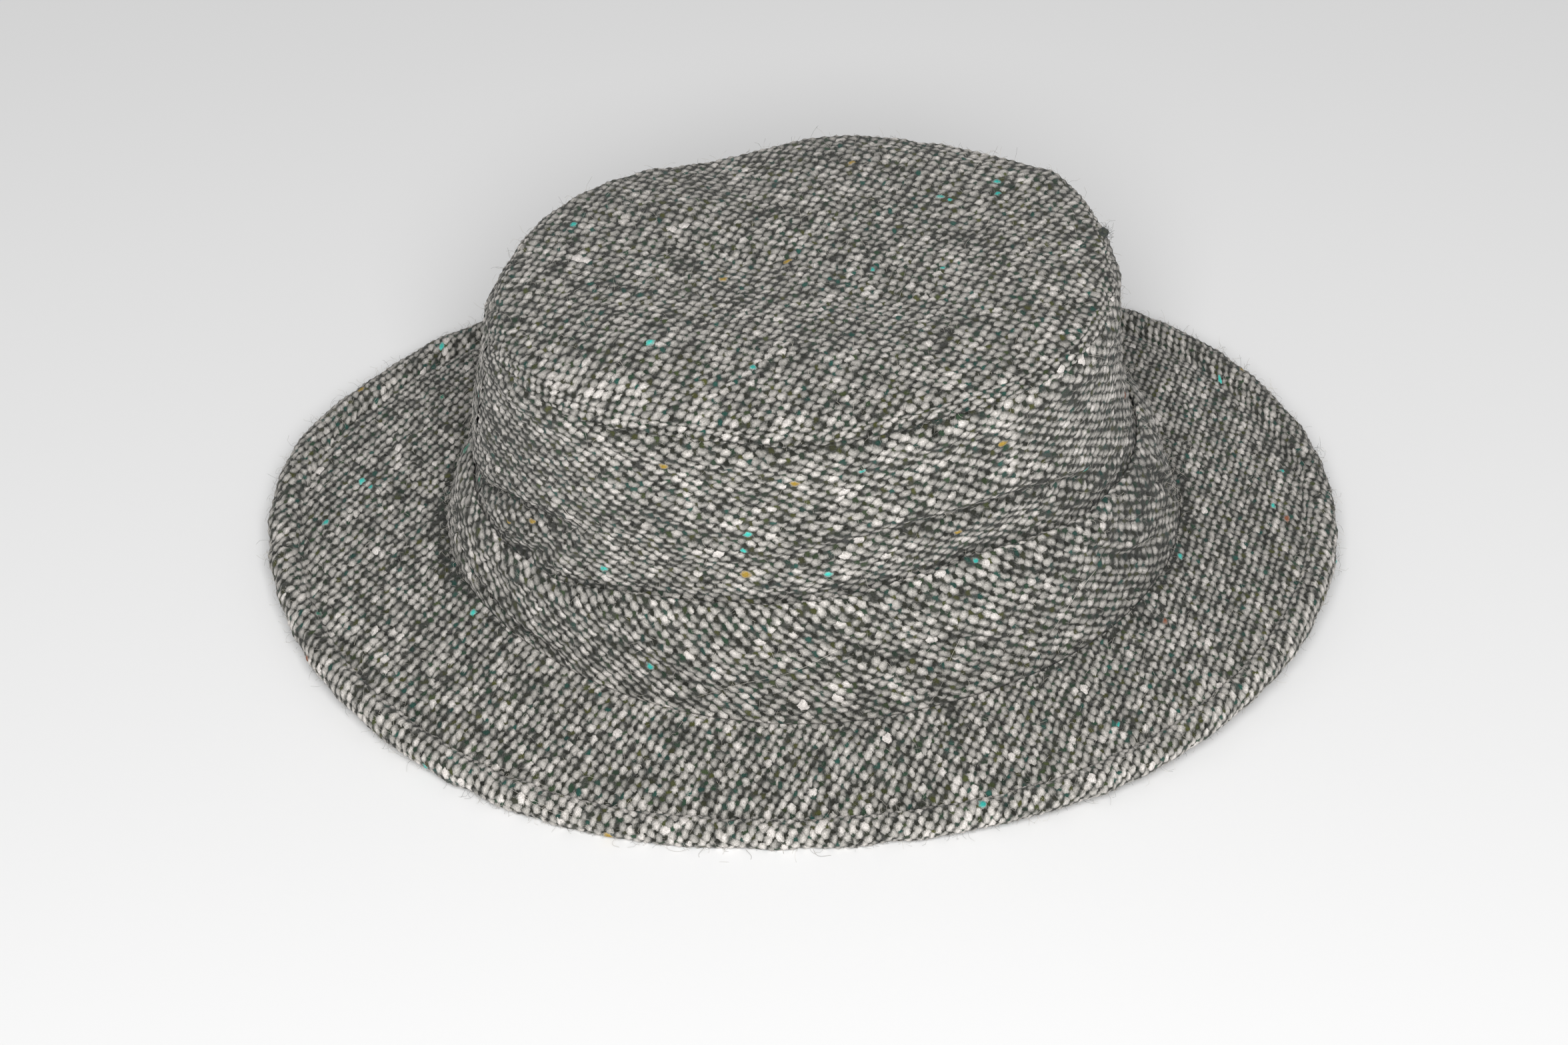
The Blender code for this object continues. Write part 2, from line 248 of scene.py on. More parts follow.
print("band height at the front right", round(BAND_HEIGHT * float(around(BAND_ROUND, 300)) * 1000, 1), "mm")

# %% [markdown]
# ## Ripples
# Handled wool is a little uneven all over. A sum of waves in random directions is smooth, cheap and the same
# each time. It bends the threads' lines, and it lifts the cloth as well.

# %% A smooth unevenness
WAVES = 14


def ripple(first, second, length, seed):
    """Return smooth random values near -1 to 1, in waves about one length long."""
    random = np.random.default_rng(seed)
    total = np.zeros(np.broadcast(first, second).shape)
    for _ in range(WAVES):
        way = random.uniform(0, 2 * math.pi)
        phase = random.uniform(0, 2 * math.pi)
        turns = 2 * math.pi / (length * random.uniform(0.7, 1.6))
        total += np.sin((first * math.cos(way) + second * math.sin(way)) * turns + phase)
    return total / math.sqrt(WAVES / 2) / 2


# %% [markdown]
# ## The weave in relief
# The cloth is a plain weave: each thread passes over one and under the next. The light yarn's knuckles stand
# out most, in a checkerboard. A sine along each way, multiplied, rises at one and falls at the next, which
# is that checkerboard. Places are counted in threads, so that the colours can find the same knuckles.

# %% Thread spacing and relief
WALL_STEPS = (0.00199, 0.00166)
BAND_STEPS = (0.00193, 0.0019)
TIP_STEPS = (0.00186, 0.00195)
BRIM_STEPS = (0.00198, 0.00174)
RELIEF = 0.00032
PUCKER = 0.0003
WANDER = 0.22
WANDER_LENGTHS = (19, 16)
UNEVEN = 0.4
UNEVEN_LENGTH = 5
PUCKER_LENGTH = 8


def thread_places(along, across, steps, seed):
    """Turn distances along and across the light yarn into thread numbers."""
    u = along / steps[0]
    v = across / steps[1]
    first, second = [ripple(u, v, length, seed + place) for place, length in enumerate(WANDER_LENGTHS)]
    return u + WANDER * first, v + WANDER * second


def weave_relief(u, v, seed):
    """Height of the cloth's outer face over its middle, with the light knuckles up."""
    knuckle = np.sin(math.pi * u) * np.sin(math.pi * v)
    uneven = 1 + UNEVEN * ripple(u, v, UNEVEN_LENGTH, seed + 2)
    return RELIEF * knuckle * uneven + PUCKER * ripple(u, v, PUCKER_LENGTH, seed + 3)


# %% [markdown]
# ## Pieces from a grid
# A sleeve of cloth is a grid bent round until its sides meet, and a closed one also meets along its ends.
# One grid operator makes all its faces at once, array maths moves the points, and merging the doubled
# points shuts it. The thread numbers go into a UV map, which every face corner holds for itself, so they
# may jump at a seam. Two shares go with the points: fibres grow where the cloth shows its nap, and the
# second is painted shading. Above nothing it is painted shade, which shrinks the light yarn and darkens the
# cloth in creases, seams and shaded hollows. Below nothing it is painted light, on parts facing the light.

# %% Grid helpers
MERGE = 0.00001
MOST_TRIANGLES = 200000


def as_mesh(name, bm):
    """Turn a bmesh into a mesh."""
    mesh = bpy.data.meshes.new(name)
    bm.to_mesh(mesh)
    bm.free()
    return mesh


def cloth_grid(name, columns, rows):
    """Return a flat grid as a mesh, and each vertex's place along and up it."""
    bm = bmesh.new()
    bmesh.ops.create_grid(bm, x_segments=columns, y_segments=rows, size=0.5)
    bmesh.ops.translate(bm, verts=bm.verts, vec=(0.5, 0.5, 0.0))
    mesh = as_mesh(name, bm)
    flat = np.empty(len(mesh.vertices) * 3)
    mesh.vertices.foreach_get("co", flat)
    along, up, _ = flat.reshape(-1, 3).T
    return mesh, along, up


def sleeve_grid(name, columns, rows, start):
    """Return a grid as a mesh, and each vertex's angle and row."""
    mesh, along, up = cloth_grid(name, columns, rows)
    return mesh, start + 360 * along, np.rint(up * rows).astype(int)


def corner_vertices(mesh):
    """Return the vertex of each face corner."""
    corners = np.empty(len(mesh.loops), np.int32)
    mesh.loops.foreach_get("vertex_index", corners)
    return corners


def write_share(mesh, name, share):
    """Store a share at each point of a mesh."""
    layer = mesh.attributes.new(name, "FLOAT", "POINT")
    layer.data.foreach_set("value", np.clip(share, -1, 1).astype(np.float32))


def write_cloth(mesh, places, nap, painted_light_and_shade, threads, first=0):
    """Move the points, and store their shares and the thread numbers of points or corners."""
    mesh.vertices.foreach_set("co", np.stack(places, axis=1).ravel())
    write_share(mesh, "nap", nap)
    write_share(mesh, "painted_light_and_shade", painted_light_and_shade)
    threads = np.stack(threads, axis=1) + first
    if len(threads) < len(mesh.loops):
        threads = threads[corner_vertices(mesh)]
    layer = mesh.uv_layers.new(name="Threads")
    layer.uv.foreach_set("vector", threads.astype(np.float32).ravel())


def count_triangles(mesh):
    """Count a mesh's triangles, which have to stay under the most for a piece."""
    triangles = sum(len(face.vertices) - 2 for face in mesh.polygons)
    assert triangles < MOST_TRIANGLES
    return triangles


def add_object(name, data):
    """Put a new object into the scene."""
    made = bpy.data.objects.new(name, data)
    bpy.context.collection.objects.link(made)
    return made


def close_piece(name, mesh):
    """Merge doubled points, point the faces out, and return the piece."""
    bm = bmesh.new()
    bm.from_mesh(mesh)
    bmesh.ops.remove_doubles(bm, verts=bm.verts, dist=MERGE)
    bmesh.ops.recalc_face_normals(bm, faces=bm.faces)
    if bm.calc_volume(signed=True) < 0:
        bmesh.ops.reverse_faces(bm, faces=bm.faces)
    open_edges = sum(1 for edge in bm.edges if not edge.is_manifold)
    bm.to_mesh(mesh)
    bm.free()
    mesh.shade_smooth()
    print(name, count_triangles(mesh), "triangles,", open_edges, "open edges")
    return add_object(name, mesh)


# %% [markdown]
# ## The crown wall
# The wall is a sleeve that leans in towards the tip. A hatter cuts it as part of a ring, because a leaning
# sleeve unrolls to one, with its threads straight across the ring. So on the hat the threads climb to the
# right on the near side. The same unrolling gives the thread numbers here. The sleeve's lower part hides
# under the band, and its inside shows only from below, so both get few rows and no relief.

# %% Wall shape
WALL_COLUMNS = 900
WALL_ROWS = ((0.0, 0), (0.3, 6), (1.0, 80))
WALL_BACK_ROWS = ((1.0, 0), (0.0, 16))
WALL_SEAM = 192
WALL_CONE = 0.66
FOLD_FADE_LOW = 0.15
FOLD_FADE_HIGH = 0.12
CREASE_ENDS = 0.7
UPPER_LIP = 0.9
LOWER_LIP = 0.5
LIP_AWAY = 2.3
LIP_SPREAD = 3
DEEPEST = 0.4
MOST_INWARD = 0.0017
SEAM_TUCK = 0.0008
SEAM_SPREAD = 0.016
SEAM_PLUMP = 0.0008
PLUMP_HEIGHT = 0.94
PLUMP_SPREAD = 1.6 * SEAM_SPREAD
SEAM_WAVES = 9
UNDER_BAND = 0.04
BAND_PINCH = 0.0009
PINCH_SPREAD = 0.03
BAND_LINE = 0.02
WALL_SEED = 10


def bumps(rows, angle, share):
    """Add up a table's soft bumps at an angle and a height share."""
    total = 0.0
    for middle, height, lean, spread, rise, strength in rows:
        turn = np.mod(angle - middle + 180, 360) - 180
        across = (share - height - lean * turn) / rise
        total = total + strength * np.exp(-(turn / spread) ** 2 - across ** 2)
    return total


def creased(rows, angle, share):
    """Return how far the creases push the cloth out, and how much painted shade each place gets for lying
    deep in one.
    """
    reach = crease_shade = 0.0
    for line, strength, spread in rows:
        first, last = line[0][0], line[-1][0]
        turn = np.mod(angle - first, 360) + first
        fade = strength * np.sin(math.pi * np.clip((turn - first) / (last - first), 0, 1)) ** CREASE_ENDS
        away = (share - through(line, np.clip(turn, first, last))) / spread
        upper = UPPER_LIP * np.exp(-(away - LIP_AWAY) ** 2 / LIP_SPREAD)
        lower = LOWER_LIP * np.exp(-(away + LIP_AWAY) ** 2 / LIP_SPREAD)
        valley = np.exp(-away ** 2)
        reach = reach + fade * (upper + lower - valley)
        crease_shade = crease_shade + fade * valley
    return FOLD_DEPTH * reach, np.clip(crease_shade / DEEPEST, 0, 1)


def wall_point(angle, share, out):
    """Return points of the wall, pushed out by a length and by the folds."""
    lean = through(WALL_LEAN, share)
    half_length = (FOOT_LENGTH + (TIP_LENGTH - FOOT_LENGTH) * lean) / 2
    half_width = (FOOT_WIDTH + (TIP_WIDTH - FOOT_WIDTH) * lean) / 2
    outline = around(FOOT_OUTLINE, angle) * (1 - lean) + around(TIP_OUTLINE, angle) * lean
    fade = np.minimum(1, share / FOLD_FADE_LOW) * np.minimum(1, (1 - share) / FOLD_FADE_HIGH)
    fold = FOLD_DEPTH * fade * bumps(WALL_FOLDS, angle, share)
    x, y = oval(angle, half_length, half_width, outline, out + fold)
    low = foot_height(angle) + GAP
    return x, y, low + (seam_height(1.0, angle) - low) * share


def seam_pull(angle):
    """How hard the tip's seam pulls the cloth in, which varies."""
    turn = np.radians(angle)
    return 1 + 0.25 * np.sin(SEAM_WAVES * turn) + 0.3 * np.sin((2 * SEAM_WAVES + 3) * turn + 1)


def band_top(angle):
    """Height share of the wall that the band covers."""
    return BAND_HEIGHT * around(BAND_ROUND, angle) / CROWN_HEIGHT


def way_round(angle, start):
    """Length round the middle of the crown wall, from a start angle."""
    fine = start + np.arange(0, 361)
    x, y = oval(fine, (FOOT_LENGTH + TIP_LENGTH) / 4, (FOOT_WIDTH + TIP_WIDTH) / 4, 1.0, 0.0)
    steps = np.hypot(np.diff(x), np.diff(y))
    return np.interp(angle, fine, np.concatenate(([0], np.cumsum(steps))))


def section_rows(stretches):
    """Return each row's place, from columns of place and rows up to there."""
    places = [np.array([stretches[0][0]])]
    for (low, _), (high, rows) in zip(stretches, stretches[1:]):
        places.append(low + (high - low) * np.arange(1, rows + 1) / rows)
    return np.concatenate(places)


print("round the crown", round(float(way_round(WALL_SEAM + 360, WALL_SEAM)) * 1000), "mm")

# %% [markdown]
# The wall's section runs up the outside and back down the inside. A crease is a narrow valley between two
# lips, the upper one larger. Near the seam the cloth tucks in a little, which draws the shadow line under
# the tip.

# %% Weave the crown wall
def crown_wall():
    """Make the leaning sleeve of the crown."""
    outer, inner = section_rows(WALL_ROWS), section_rows(WALL_BACK_ROWS)
    heights = np.concatenate((outer, inner, outer[:1]))
    outside = np.concatenate((np.ones(len(outer)), np.zeros(len(inner)), np.ones(1)))
    mesh, angle, row = sleeve_grid("crown_wall_tweed", WALL_COLUMNS, len(heights) - 1, WALL_SEAM)
    share = heights[row]
    turn = (way_round(angle, WALL_SEAM) - way_round(WALL_SEAM + 180, WALL_SEAM)) / WALL_CONE
    ring = WALL_CONE - (share - 0.5) * CROWN_HEIGHT
    u, v = thread_places(ring * np.sin(turn), WALL_CONE - ring * np.cos(turn), WALL_STEPS, WALL_SEED)
    shown = outside[row] * np.clip((share - band_top(angle) + UNDER_BAND) / UNDER_BAND, 0, 1)
    relief = shown * weave_relief(u, v, WALL_SEED)
    tuck = SEAM_TUCK * seam_pull(angle) * near(share, 1, SEAM_SPREAD)
    plump = SEAM_PLUMP * seam_pull(angle) * near(share, PLUMP_HEIGHT, PLUMP_SPREAD)
    pinch = BAND_PINCH * near(share, band_top(angle), PINCH_SPREAD)
    crease, crease_shade = creased(WALL_CREASES, angle, share)
    shape = np.maximum(crease + plump - tuck - pinch, -MOST_INWARD)
    places = wall_point(angle, share, np.where(outside[row], relief + shape, -CLOTH))
    # Painted shade: darker in the creases' valleys, at the shade spots, and along the tip's seam and the
    # band's top edge.
    painted_light_and_shade = crease_shade + bumps(SHADE_SPOTS, angle, share)
    painted_light_and_shade = painted_light_and_shade + around(SEAM_SHADE, angle) * near(share, 1, SEAM_SPREAD)
    painted_light_and_shade = painted_light_and_shade + around(BAND_EDGE_SHADE, angle) * near(share, band_top(angle), BAND_LINE)
    write_cloth(mesh, places, shown, painted_light_and_shade, (u, v))
    return close_piece("crown_wall_tweed", mesh)


wall = crown_wall()

# %% [markdown]
# ## The band
# A strip of the same cloth goes round the foot of the crown with its edges folded in. It was cut nearly
# straight and then pulled, so its light yarn climbs a little round the hat and its dark yarn leans back.
# Its top edge rides up at the front right, and swells where it is folded. Its threads are numbered from 300
# on, and each later piece starts higher too, so that no two pieces show the same yarns and flecks.

# %% Weave the band
BAND_COLUMNS = 900
BAND_SECTION = ((0.0, 0.0), (0.22, 0.5), (0.48, 0.85), (0.74, 0.8), (0.92, 0.2), (1.0, -1.2))
BAND_FACE_ROWS = 46
BAND_FOLD_ROWS = 9
BAND_BACK_ROWS = 4
BAND_SEAM = 150
BAND_EASE = 1.05
BAND_SHEAR = 0.28
BAND_CLIMB = 0.06
BAND_FOOT = 0.04
FOOT_LINE = 0.05
BAND_SEED = 40
BAND_FIRST = 300


def hat_band():
    """Make the strip: up the face, over the fold and down the back."""
    face = np.arange(BAND_FACE_ROWS + 1) / BAND_FACE_ROWS
    fold = np.arange(1, BAND_FOLD_ROWS + 1) / BAND_FOLD_ROWS
    back = 1 - np.arange(1, BAND_BACK_ROWS + 1) / BAND_BACK_ROWS
    heights = np.concatenate((face, np.ones(BAND_FOLD_ROWS), back, [0]))
    turns = np.concatenate((0 * face, fold * math.pi, 0 * back + math.pi, [0]))
    mesh, angle, row = sleeve_grid("hat_band_tweed", BAND_COLUMNS, len(heights) - 1, BAND_SEAM)
    share, turn = heights[row], turns[row]
    on_face = turn == 0
    half = (BAND_CLOTH + BAND_SWELL * through(BAND_SECTION, share)) / 2
    top = BAND_HEIGHT * around(BAND_ROUND, angle) - half
    length = np.where(turn < math.pi, share * top + half * turn, (2 - share) * top + half * math.pi)
    way = way_round(angle, BAND_SEAM) * BAND_EASE
    u, v = thread_places(way + BAND_SHEAR * length, length - BAND_CLIMB * way, BAND_STEPS, BAND_SEED)
    shown = np.clip(share / BAND_FOOT, 0, 1) * (turn < math.pi)
    relief = shown * weave_relief(u, v, BAND_SEED)
    crease, crease_shade = creased(BAND_CREASES, angle, share)
    crease = np.where(on_face, crease * (1 - share ** 6), 0)
    out = GAP + half + (half + relief) * np.cos(turn) + crease
    x, y, z = wall_point(angle, share * top / CROWN_HEIGHT, out)
    z = z + (half + relief) * np.sin(turn)
    # Painted shade: darker in the creases' valleys on the face, at the shade spots, and along the crown's
    # foot.
    painted_light_and_shade = crease_shade * on_face + bumps(SHADE_SPOTS, angle, share * top / CROWN_HEIGHT)
    painted_light_and_shade = painted_light_and_shade + around(FOOT_SHADE, angle) * near(share, 0, FOOT_LINE) * on_face
    write_cloth(mesh, (x, y, z), shown, painted_light_and_shade, (u, v), BAND_FIRST)
    return close_piece("hat_band_tweed", mesh)


band = hat_band()

# %% [markdown]
# ## The tip
# The oval that closes the crown is flat cloth, so its threads run straight across it, turned a little from
# the hat's long axis. Painted light makes its light yarn show more where it rolls over towards the light at
# the near left, and painted shade darkens its rim along the seam. Rings of points would crowd at its middle.
# A square grid squeezed to a disc spreads them evenly, and it has no pole. A second, coarser disc is its
# underside, and a bridge joins their rims.

# %% Weave the tip
TIP_CELLS = 286
TIP_UNDER_CELLS = 72
TIP_CROWD = 0.72 * math.pi / 2
TIP_GRAIN = math.radians(16)
TIP_PULL = 0.065
TIP_TUCK = 0.04
TIP_PLUMP = 0.94
TIP_PLUMP_SPREAD = 0.02
TIP_LINE = 0.025
ROLL_REACH = 0.9
ROLL_WIDTH = 0.07
ROLL_MIDDLE = 236
ROLL_SPREAD = 26
ROLL_LIGHT = 0.45
TIP_ROLL = 1.06
TIP_SECTION = (
    (0.0, 0.0), (0.2, 0.0), (0.4, 0.0), (0.58, 0.02), (0.73, 0.09), (0.85, 0.24), (0.93, 0.46),
    (0.98, 0.74), (1.0, 1.0),
)
TIP_TURN = (
    (0.0, 0.0), (0.4, 0.0), (0.58, 0.04), (0.73, 0.12), (0.85, 0.25), (0.93, 0.42), (0.98, 0.62),
    (1.0, 1.0),
)
TIP_SEED = 70
TIP_FIRST = 600


def tip_dent(x_share, y_share):
    """How far the dents lift the tip, in metres."""
    total = 0.0
    for x_middle, y_middle, spread, strength in TIP_DENTS:
        away = (x_share - x_middle) ** 2 + (y_share - y_middle) ** 2
        total = total + strength * np.exp(-away / spread ** 2)
    return TIP_DENT * total


def tip_face(name, cells, under):
    """Make the tip's upper or under face, as an open disc."""
    mesh, across, up = cloth_grid(name, cells, cells)
    across, up = 2 * across - 1, 2 * up - 1
    flat_x = across * np.sqrt(1 - up ** 2 / 2)
    flat_y = up * np.sqrt(1 - across ** 2 / 2)
    way = np.hypot(flat_x, flat_y)
    angle = np.degrees(np.arctan2(flat_y, flat_x))
    c, s = np.cos(np.radians(angle)), np.sin(np.radians(angle))
    reach = np.sin(np.clip(way, 0, 1) * TIP_CROWD) / math.sin(TIP_CROWD)
    reach = way + (reach - way) * way ** 4
    down = through(TIP_SECTION, reach)
    slope = np.radians(90 * through(TIP_TURN, reach))
    outline = 1 + (around(TIP_OUTLINE, angle) - 1) * reach
    along = way * TIP_ROLL * TIP_LENGTH / 2 * c
    side = way * TIP_ROLL * TIP_WIDTH / 2 * s
    pulled = side * math.cos(TIP_GRAIN) - along * math.sin(TIP_GRAIN)
    pulled = pulled * (1 - TIP_PULL * pulled / (TIP_WIDTH / 2))
    along = along * math.cos(TIP_GRAIN) + side * math.sin(TIP_GRAIN)
    u, v = thread_places(along, pulled, TIP_STEPS, TIP_SEED)
    lift = -CLOTH if under else weave_relief(u, v, TIP_SEED)
    tuck = SEAM_TUCK * np.clip((reach - 1 + TIP_TUCK) / TIP_TUCK, 0, 1) ** 2
    tuck = (tuck - SEAM_PLUMP * near(reach, TIP_PLUMP, TIP_PLUMP_SPREAD)) * seam_pull(angle)
    x, y = oval(angle, TIP_LENGTH / 2 * reach, TIP_WIDTH / 2 * reach, outline, lift * np.sin(slope) - tuck)
    x = np.where(way > 0, x, CROWN_SHIFT)
    y = np.where(way > 0, y, 0.0)
    soft = TIP_SWELL * (1 - reach * reach) + (1 - reach ** 6) * tip_dent(reach * c, reach * s)
    z = seam_height(reach, angle) + GAP + TURN_DOWN * (1 - down) + soft + lift * np.cos(slope)
    # Painted shade darkens the rim along the seam, and painted light brightens the roll at the near left,
    # which faces the light.
    painted_light_and_shade = around(SEAM_SHADE, angle) * np.clip((reach - 1 + TIP_LINE) / TIP_LINE, 0, 1)
    roll_light = near(reach, ROLL_REACH, ROLL_WIDTH) * near(np.mod(angle, 360), ROLL_MIDDLE, ROLL_SPREAD)
    nap = np.full(len(x), 0.0 if under else 1.0)
    write_cloth(mesh, (x, y, z), nap, painted_light_and_shade - ROLL_LIGHT * roll_light, (u, v), TIP_FIRST)
    return mesh


def crown_tip():
    """Make the tip from its two faces and a bridge round the rim."""
    bm = bmesh.new()
    bm.from_mesh(tip_face("tip_over", TIP_CELLS, False))
    bm.from_mesh(tip_face("tip_under", TIP_UNDER_CELLS, True))
    bmesh.ops.bridge_loops(bm, edges=[edge for edge in bm.edges if edge.is_boundary])
    return close_piece("crown_tip_tweed", as_mesh("crown_tip_tweed", bm))


tip = crown_tip()

# %% [markdown]
# ## The brim
# Two layers of the cloth lie one on the other from the crown out to a padded edge, where the cloth is
# turned round a soft filling. A stitched groove divides the two. The light yarn runs towards the camera
# here, across the tip's, in a slight fan that pressing leaves. On the edge the cloth is unrolled outwards
# before its threads are counted, so they wrap round it. Painted light makes the light ones show more on the
# near side, which faces the light, and painted shade darkens the top along the crown's foot.

# %% Weave the brim
BRIM_COLUMNS = 960
BRIM_TOP_ROWS = 62
BRIM_SEAT_ROWS = 5
BRIM_EDGE_ROWS = 26
BRIM_UNDER_ROWS = 14
BRIM_GRAIN = math.radians(12)
BRIM_FAN = 1.5
FAN_FOOT = 0.11
BRIM_DRAW = 0.4
GROOVE_WIDTH = 0.08
SEAT_FADE = 3
SEAT_SHOWN = 1.6 / SEAT_FADE
UNDER_RELIEF = 0.4
TOP_NAP = 0.45
EDGE_TURN = 152
EDGE_STEP = 0.001
EDGE_LIGHT = 0.45
BRIM_SEED = 100
BRIM_FIRST = 900


def edge_middle(angle, out):
    """Return the middle of the padded edge's section, pushed out by a length."""
    half_length = FOOT_LENGTH / 2 + GAP + BAND_CLOTH + BRIM_END
    half_width = FOOT_WIDTH / 2 + GAP + BAND_CLOTH + BRIM_SIDE
    x, y = oval(angle, half_length, half_width, around(BRIM_OUTLINE, angle), out - EDGE_WIDTH / 2)
    return x - CROWN_SHIFT, y, EDGE_HEIGHT / 2 - EDGE_PRESS + EDGE_LIFT * around(LIFT_ROUND, angle)


def brim_threads(x, y):
    """Thread numbers of the brim's flat cloth."""
    along = y * math.cos(BRIM_GRAIN) - x * math.sin(BRIM_GRAIN)
    across = x * math.cos(BRIM_GRAIN) + y * math.sin(BRIM_GRAIN)
    across = across + BRIM_FAN * (y + FAN_FOOT) * x + BRIM_DRAW * x * x
    return thread_places(along, across, BRIM_STEPS, BRIM_SEED)


def brim():
    """Make the brim: out over the top, round the padded edge, back underneath, and up to the start."""
    top, edge, under = BRIM_TOP_ROWS, BRIM_EDGE_ROWS, BRIM_UNDER_ROWS
    rows = top + edge + under
    mesh, angle, row = sleeve_grid("brim_tweed", BRIM_COLUMNS, rows, 0)
    outwards = np.array((np.cos(np.radians(angle)), np.sin(np.radians(angle))))
    foot = around(FOOT_OUTLINE, angle)
    hole, seat = [
        np.array(oval(angle, FOOT_LENGTH / 2, FOOT_WIDTH / 2, foot, out))
        for out in (-CLOTH, GAP + BAND_CLOTH + BAND_SWELL + SEAT_MARGIN)
    ]
    *rim, rim_z = edge_middle(angle, -EDGE_WIDTH / 2)
    on_top = row < top
    on_edge = (row >= top) & (row < top + edge)
    closing = row == rows
    way_out = (row - BRIM_SEAT_ROWS) / (top - 1 - BRIM_SEAT_ROWS)
    way = np.where(on_top, way_out, (rows - 1 - row) / (under - 2))
    way = np.clip(np.where(closing, 0, way), 0, 1)
    seated = np.clip(np.where(on_top, 1 - row / BRIM_SEAT_ROWS, row == rows - 1), 0, 1)
    seated = np.where(closing, 1, seated)
    plan = seat + (rim - seat) * way + (hole - seat) * seated
    low = rim_z + BRIM_CLOTH / 2
    z = foot_height(angle) + (low - foot_height(angle)) * through(BRIM_DROP, way)
    groove = GROOVE * near(way, 1, GROOVE_WIDTH)
    turn = np.radians(EDGE_TURN * (1 - 2 * (row - top) / (edge - 1)))
    *edge_plan, edge_z = edge_middle(angle, EDGE_WIDTH / 2 * np.cos(turn))
    wrap = EDGE_STEP + (math.radians(EDGE_TURN) - turn) * (EDGE_WIDTH + EDGE_HEIGHT) / 4
    u, v = brim_threads(*plan)
    edge_u, edge_v = brim_threads(*(rim + outwards * wrap))
    relief = weave_relief(u, v, BRIM_SEED) * np.clip(SEAT_FADE * (SEAT_SHOWN - seated), 0, 1)
    edge_relief = weave_relief(edge_u, edge_v, BRIM_SEED)
    above = on_top | closing
    z = np.where(above, z + relief - groove, z - BRIM_CLOTH - UNDER_RELIEF * relief)
    plan = np.where(on_edge, edge_plan + edge_relief * np.cos(turn) * outwards, plan)
    edge_z = edge_z + (EDGE_HEIGHT / 2 + edge_relief) * np.sin(turn)
    z = np.where(on_edge, np.maximum(0, edge_z), z)
    nap = np.where(on_edge, 1, np.where(above, TOP_NAP * np.clip(1 - seated, 0, 1), 0))
    # Painted shade darkens the top along the crown's foot, and painted light brightens the padded edge on
    # the near side, which faces the light.
    painted_light_and_shade = np.where(on_top, around(FOOT_SHADE, angle) * near(way, 0, FOOT_LINE), 0)
    painted_light_and_shade = painted_light_and_shade - np.where(on_edge, EDGE_LIGHT * np.clip(-outwards[1], 0, 1), 0)
    corners = corner_vertices(mesh)
    faces = np.arange(len(corners)) // 4
    face_row = np.minimum.reduceat(row[corners], np.arange(0, len(corners), 4))[faces]
    wrapped = (face_row >= top - 1) & (face_row < top + edge) & on_edge[corners]
    threads = np.where(wrapped, (edge_u[corners], edge_v[corners]), (u[corners], v[corners]))
    write_cloth(mesh, (*plan, z), nap, painted_light_and_shade, threads, BRIM_FIRST)
    return close_piece("brim_tweed", mesh)


brim_piece = brim()

# %% [markdown]
# ## The wool
# The real cloth is a coarse woollen tweed: an ecru and grey marled yarn crosses a charcoal one with some
# green in it, and both hold flecks of turquoise, green, ochre and rust. The yarns are carded, so they are
# fuzzy and quite matt, with a soft sheen at grazing angles. Colours are sRGB hex values turned to linear by
# one function, and one small function adds each node with its inputs and settings. The other helpers name
# the nodes that come again and again.

# %% Colour and node helpers
def linear(code):
    """Turn an sRGB hex colour to a linear one with full alpha."""
    parts = [int(code[place:place + 2], 16) / 255 for place in (1, 3, 5)]
    return (*[part / 12.92 if part <= 0.04045 else ((part + 0.055) / 1.055) ** 2.4 for part in parts], 1.0)


def feed(tree, node, inputs):
    """Link or set a node's inputs, given in order or by name."""
    pairs = inputs.items() if isinstance(inputs, dict) else enumerate(inputs)
    for place, value in pairs:
        if isinstance(value, bpy.types.Node):
            value = value.outputs[0]
        if isinstance(value, bpy.types.NodeSocket):
            tree.links.new(value, node.inputs[place])
        else:
            node.inputs[place].default_value = value


def add(tree, kind, inputs=(), **settings):
    """Add a node with its settings, feed its inputs, and return it."""
    made = tree.nodes.new(kind)
    for name, value in settings.items():
        setattr(made, name, value)
    feed(tree, made, inputs)
    return made


VECTOR = "ShaderNodeVectorMath"
SEPARATE = "ShaderNodeSeparateXYZ"


def maths(tree, operation, *values, **settings):
    """Work out a number from others."""
    return add(tree, "ShaderNodeMath", values, operation=operation, **settings)


def vectors(tree, operation, *values):
    """Work out a vector from others."""
    return add(tree, VECTOR, values, operation=operation)


def noise(tree, vector, scale, detail, roughness=0.5):
    """Add a noise texture."""
    inputs = {"Vector": vector, "Scale": scale, "Detail": detail, "Roughness": roughness}
    return add(tree, "ShaderNodeTexNoise", inputs)


def spread(tree, value, first, last, low=0.28, high=0.72, **settings):
    """Stretch a value from a range, by default a noise's, to another."""
    inputs = {0: value, 1: low, 2: high, 3: first, 4: last}
    return add(tree, "ShaderNodeMapRange", inputs, **settings)


def scaled(tree, vector, scale):
    """Scale a vector or a colour by a number."""
    return add(tree, VECTOR, {0: vector, "Scale": scale}, operation="SCALE")


def mapped(tree, vector, turn, size, kind="TEXTURE"):
    """Turn a place about Z, and divide it by a size, or multiply it when the kind is POINT."""
    inputs = {"Vector": vector, "Rotation": (0, 0, turn), "Scale": size}
    return add(tree, "ShaderNodeMapping", inputs, vector_type=kind)


def swing(tree, texture, far):
    """Turn a noise's colour to a push to and fro."""
    return scaled(tree, vectors(tree, "SUBTRACT", texture.outputs["Color"], (0.5, 0.5, 0.5)), far)


def weighed(tree, base, *parts):
    """Add values to a base, each times its weight."""
    for value, weight in parts:
        base = maths(tree, "MULTIPLY_ADD", value, weight, base)
    return base


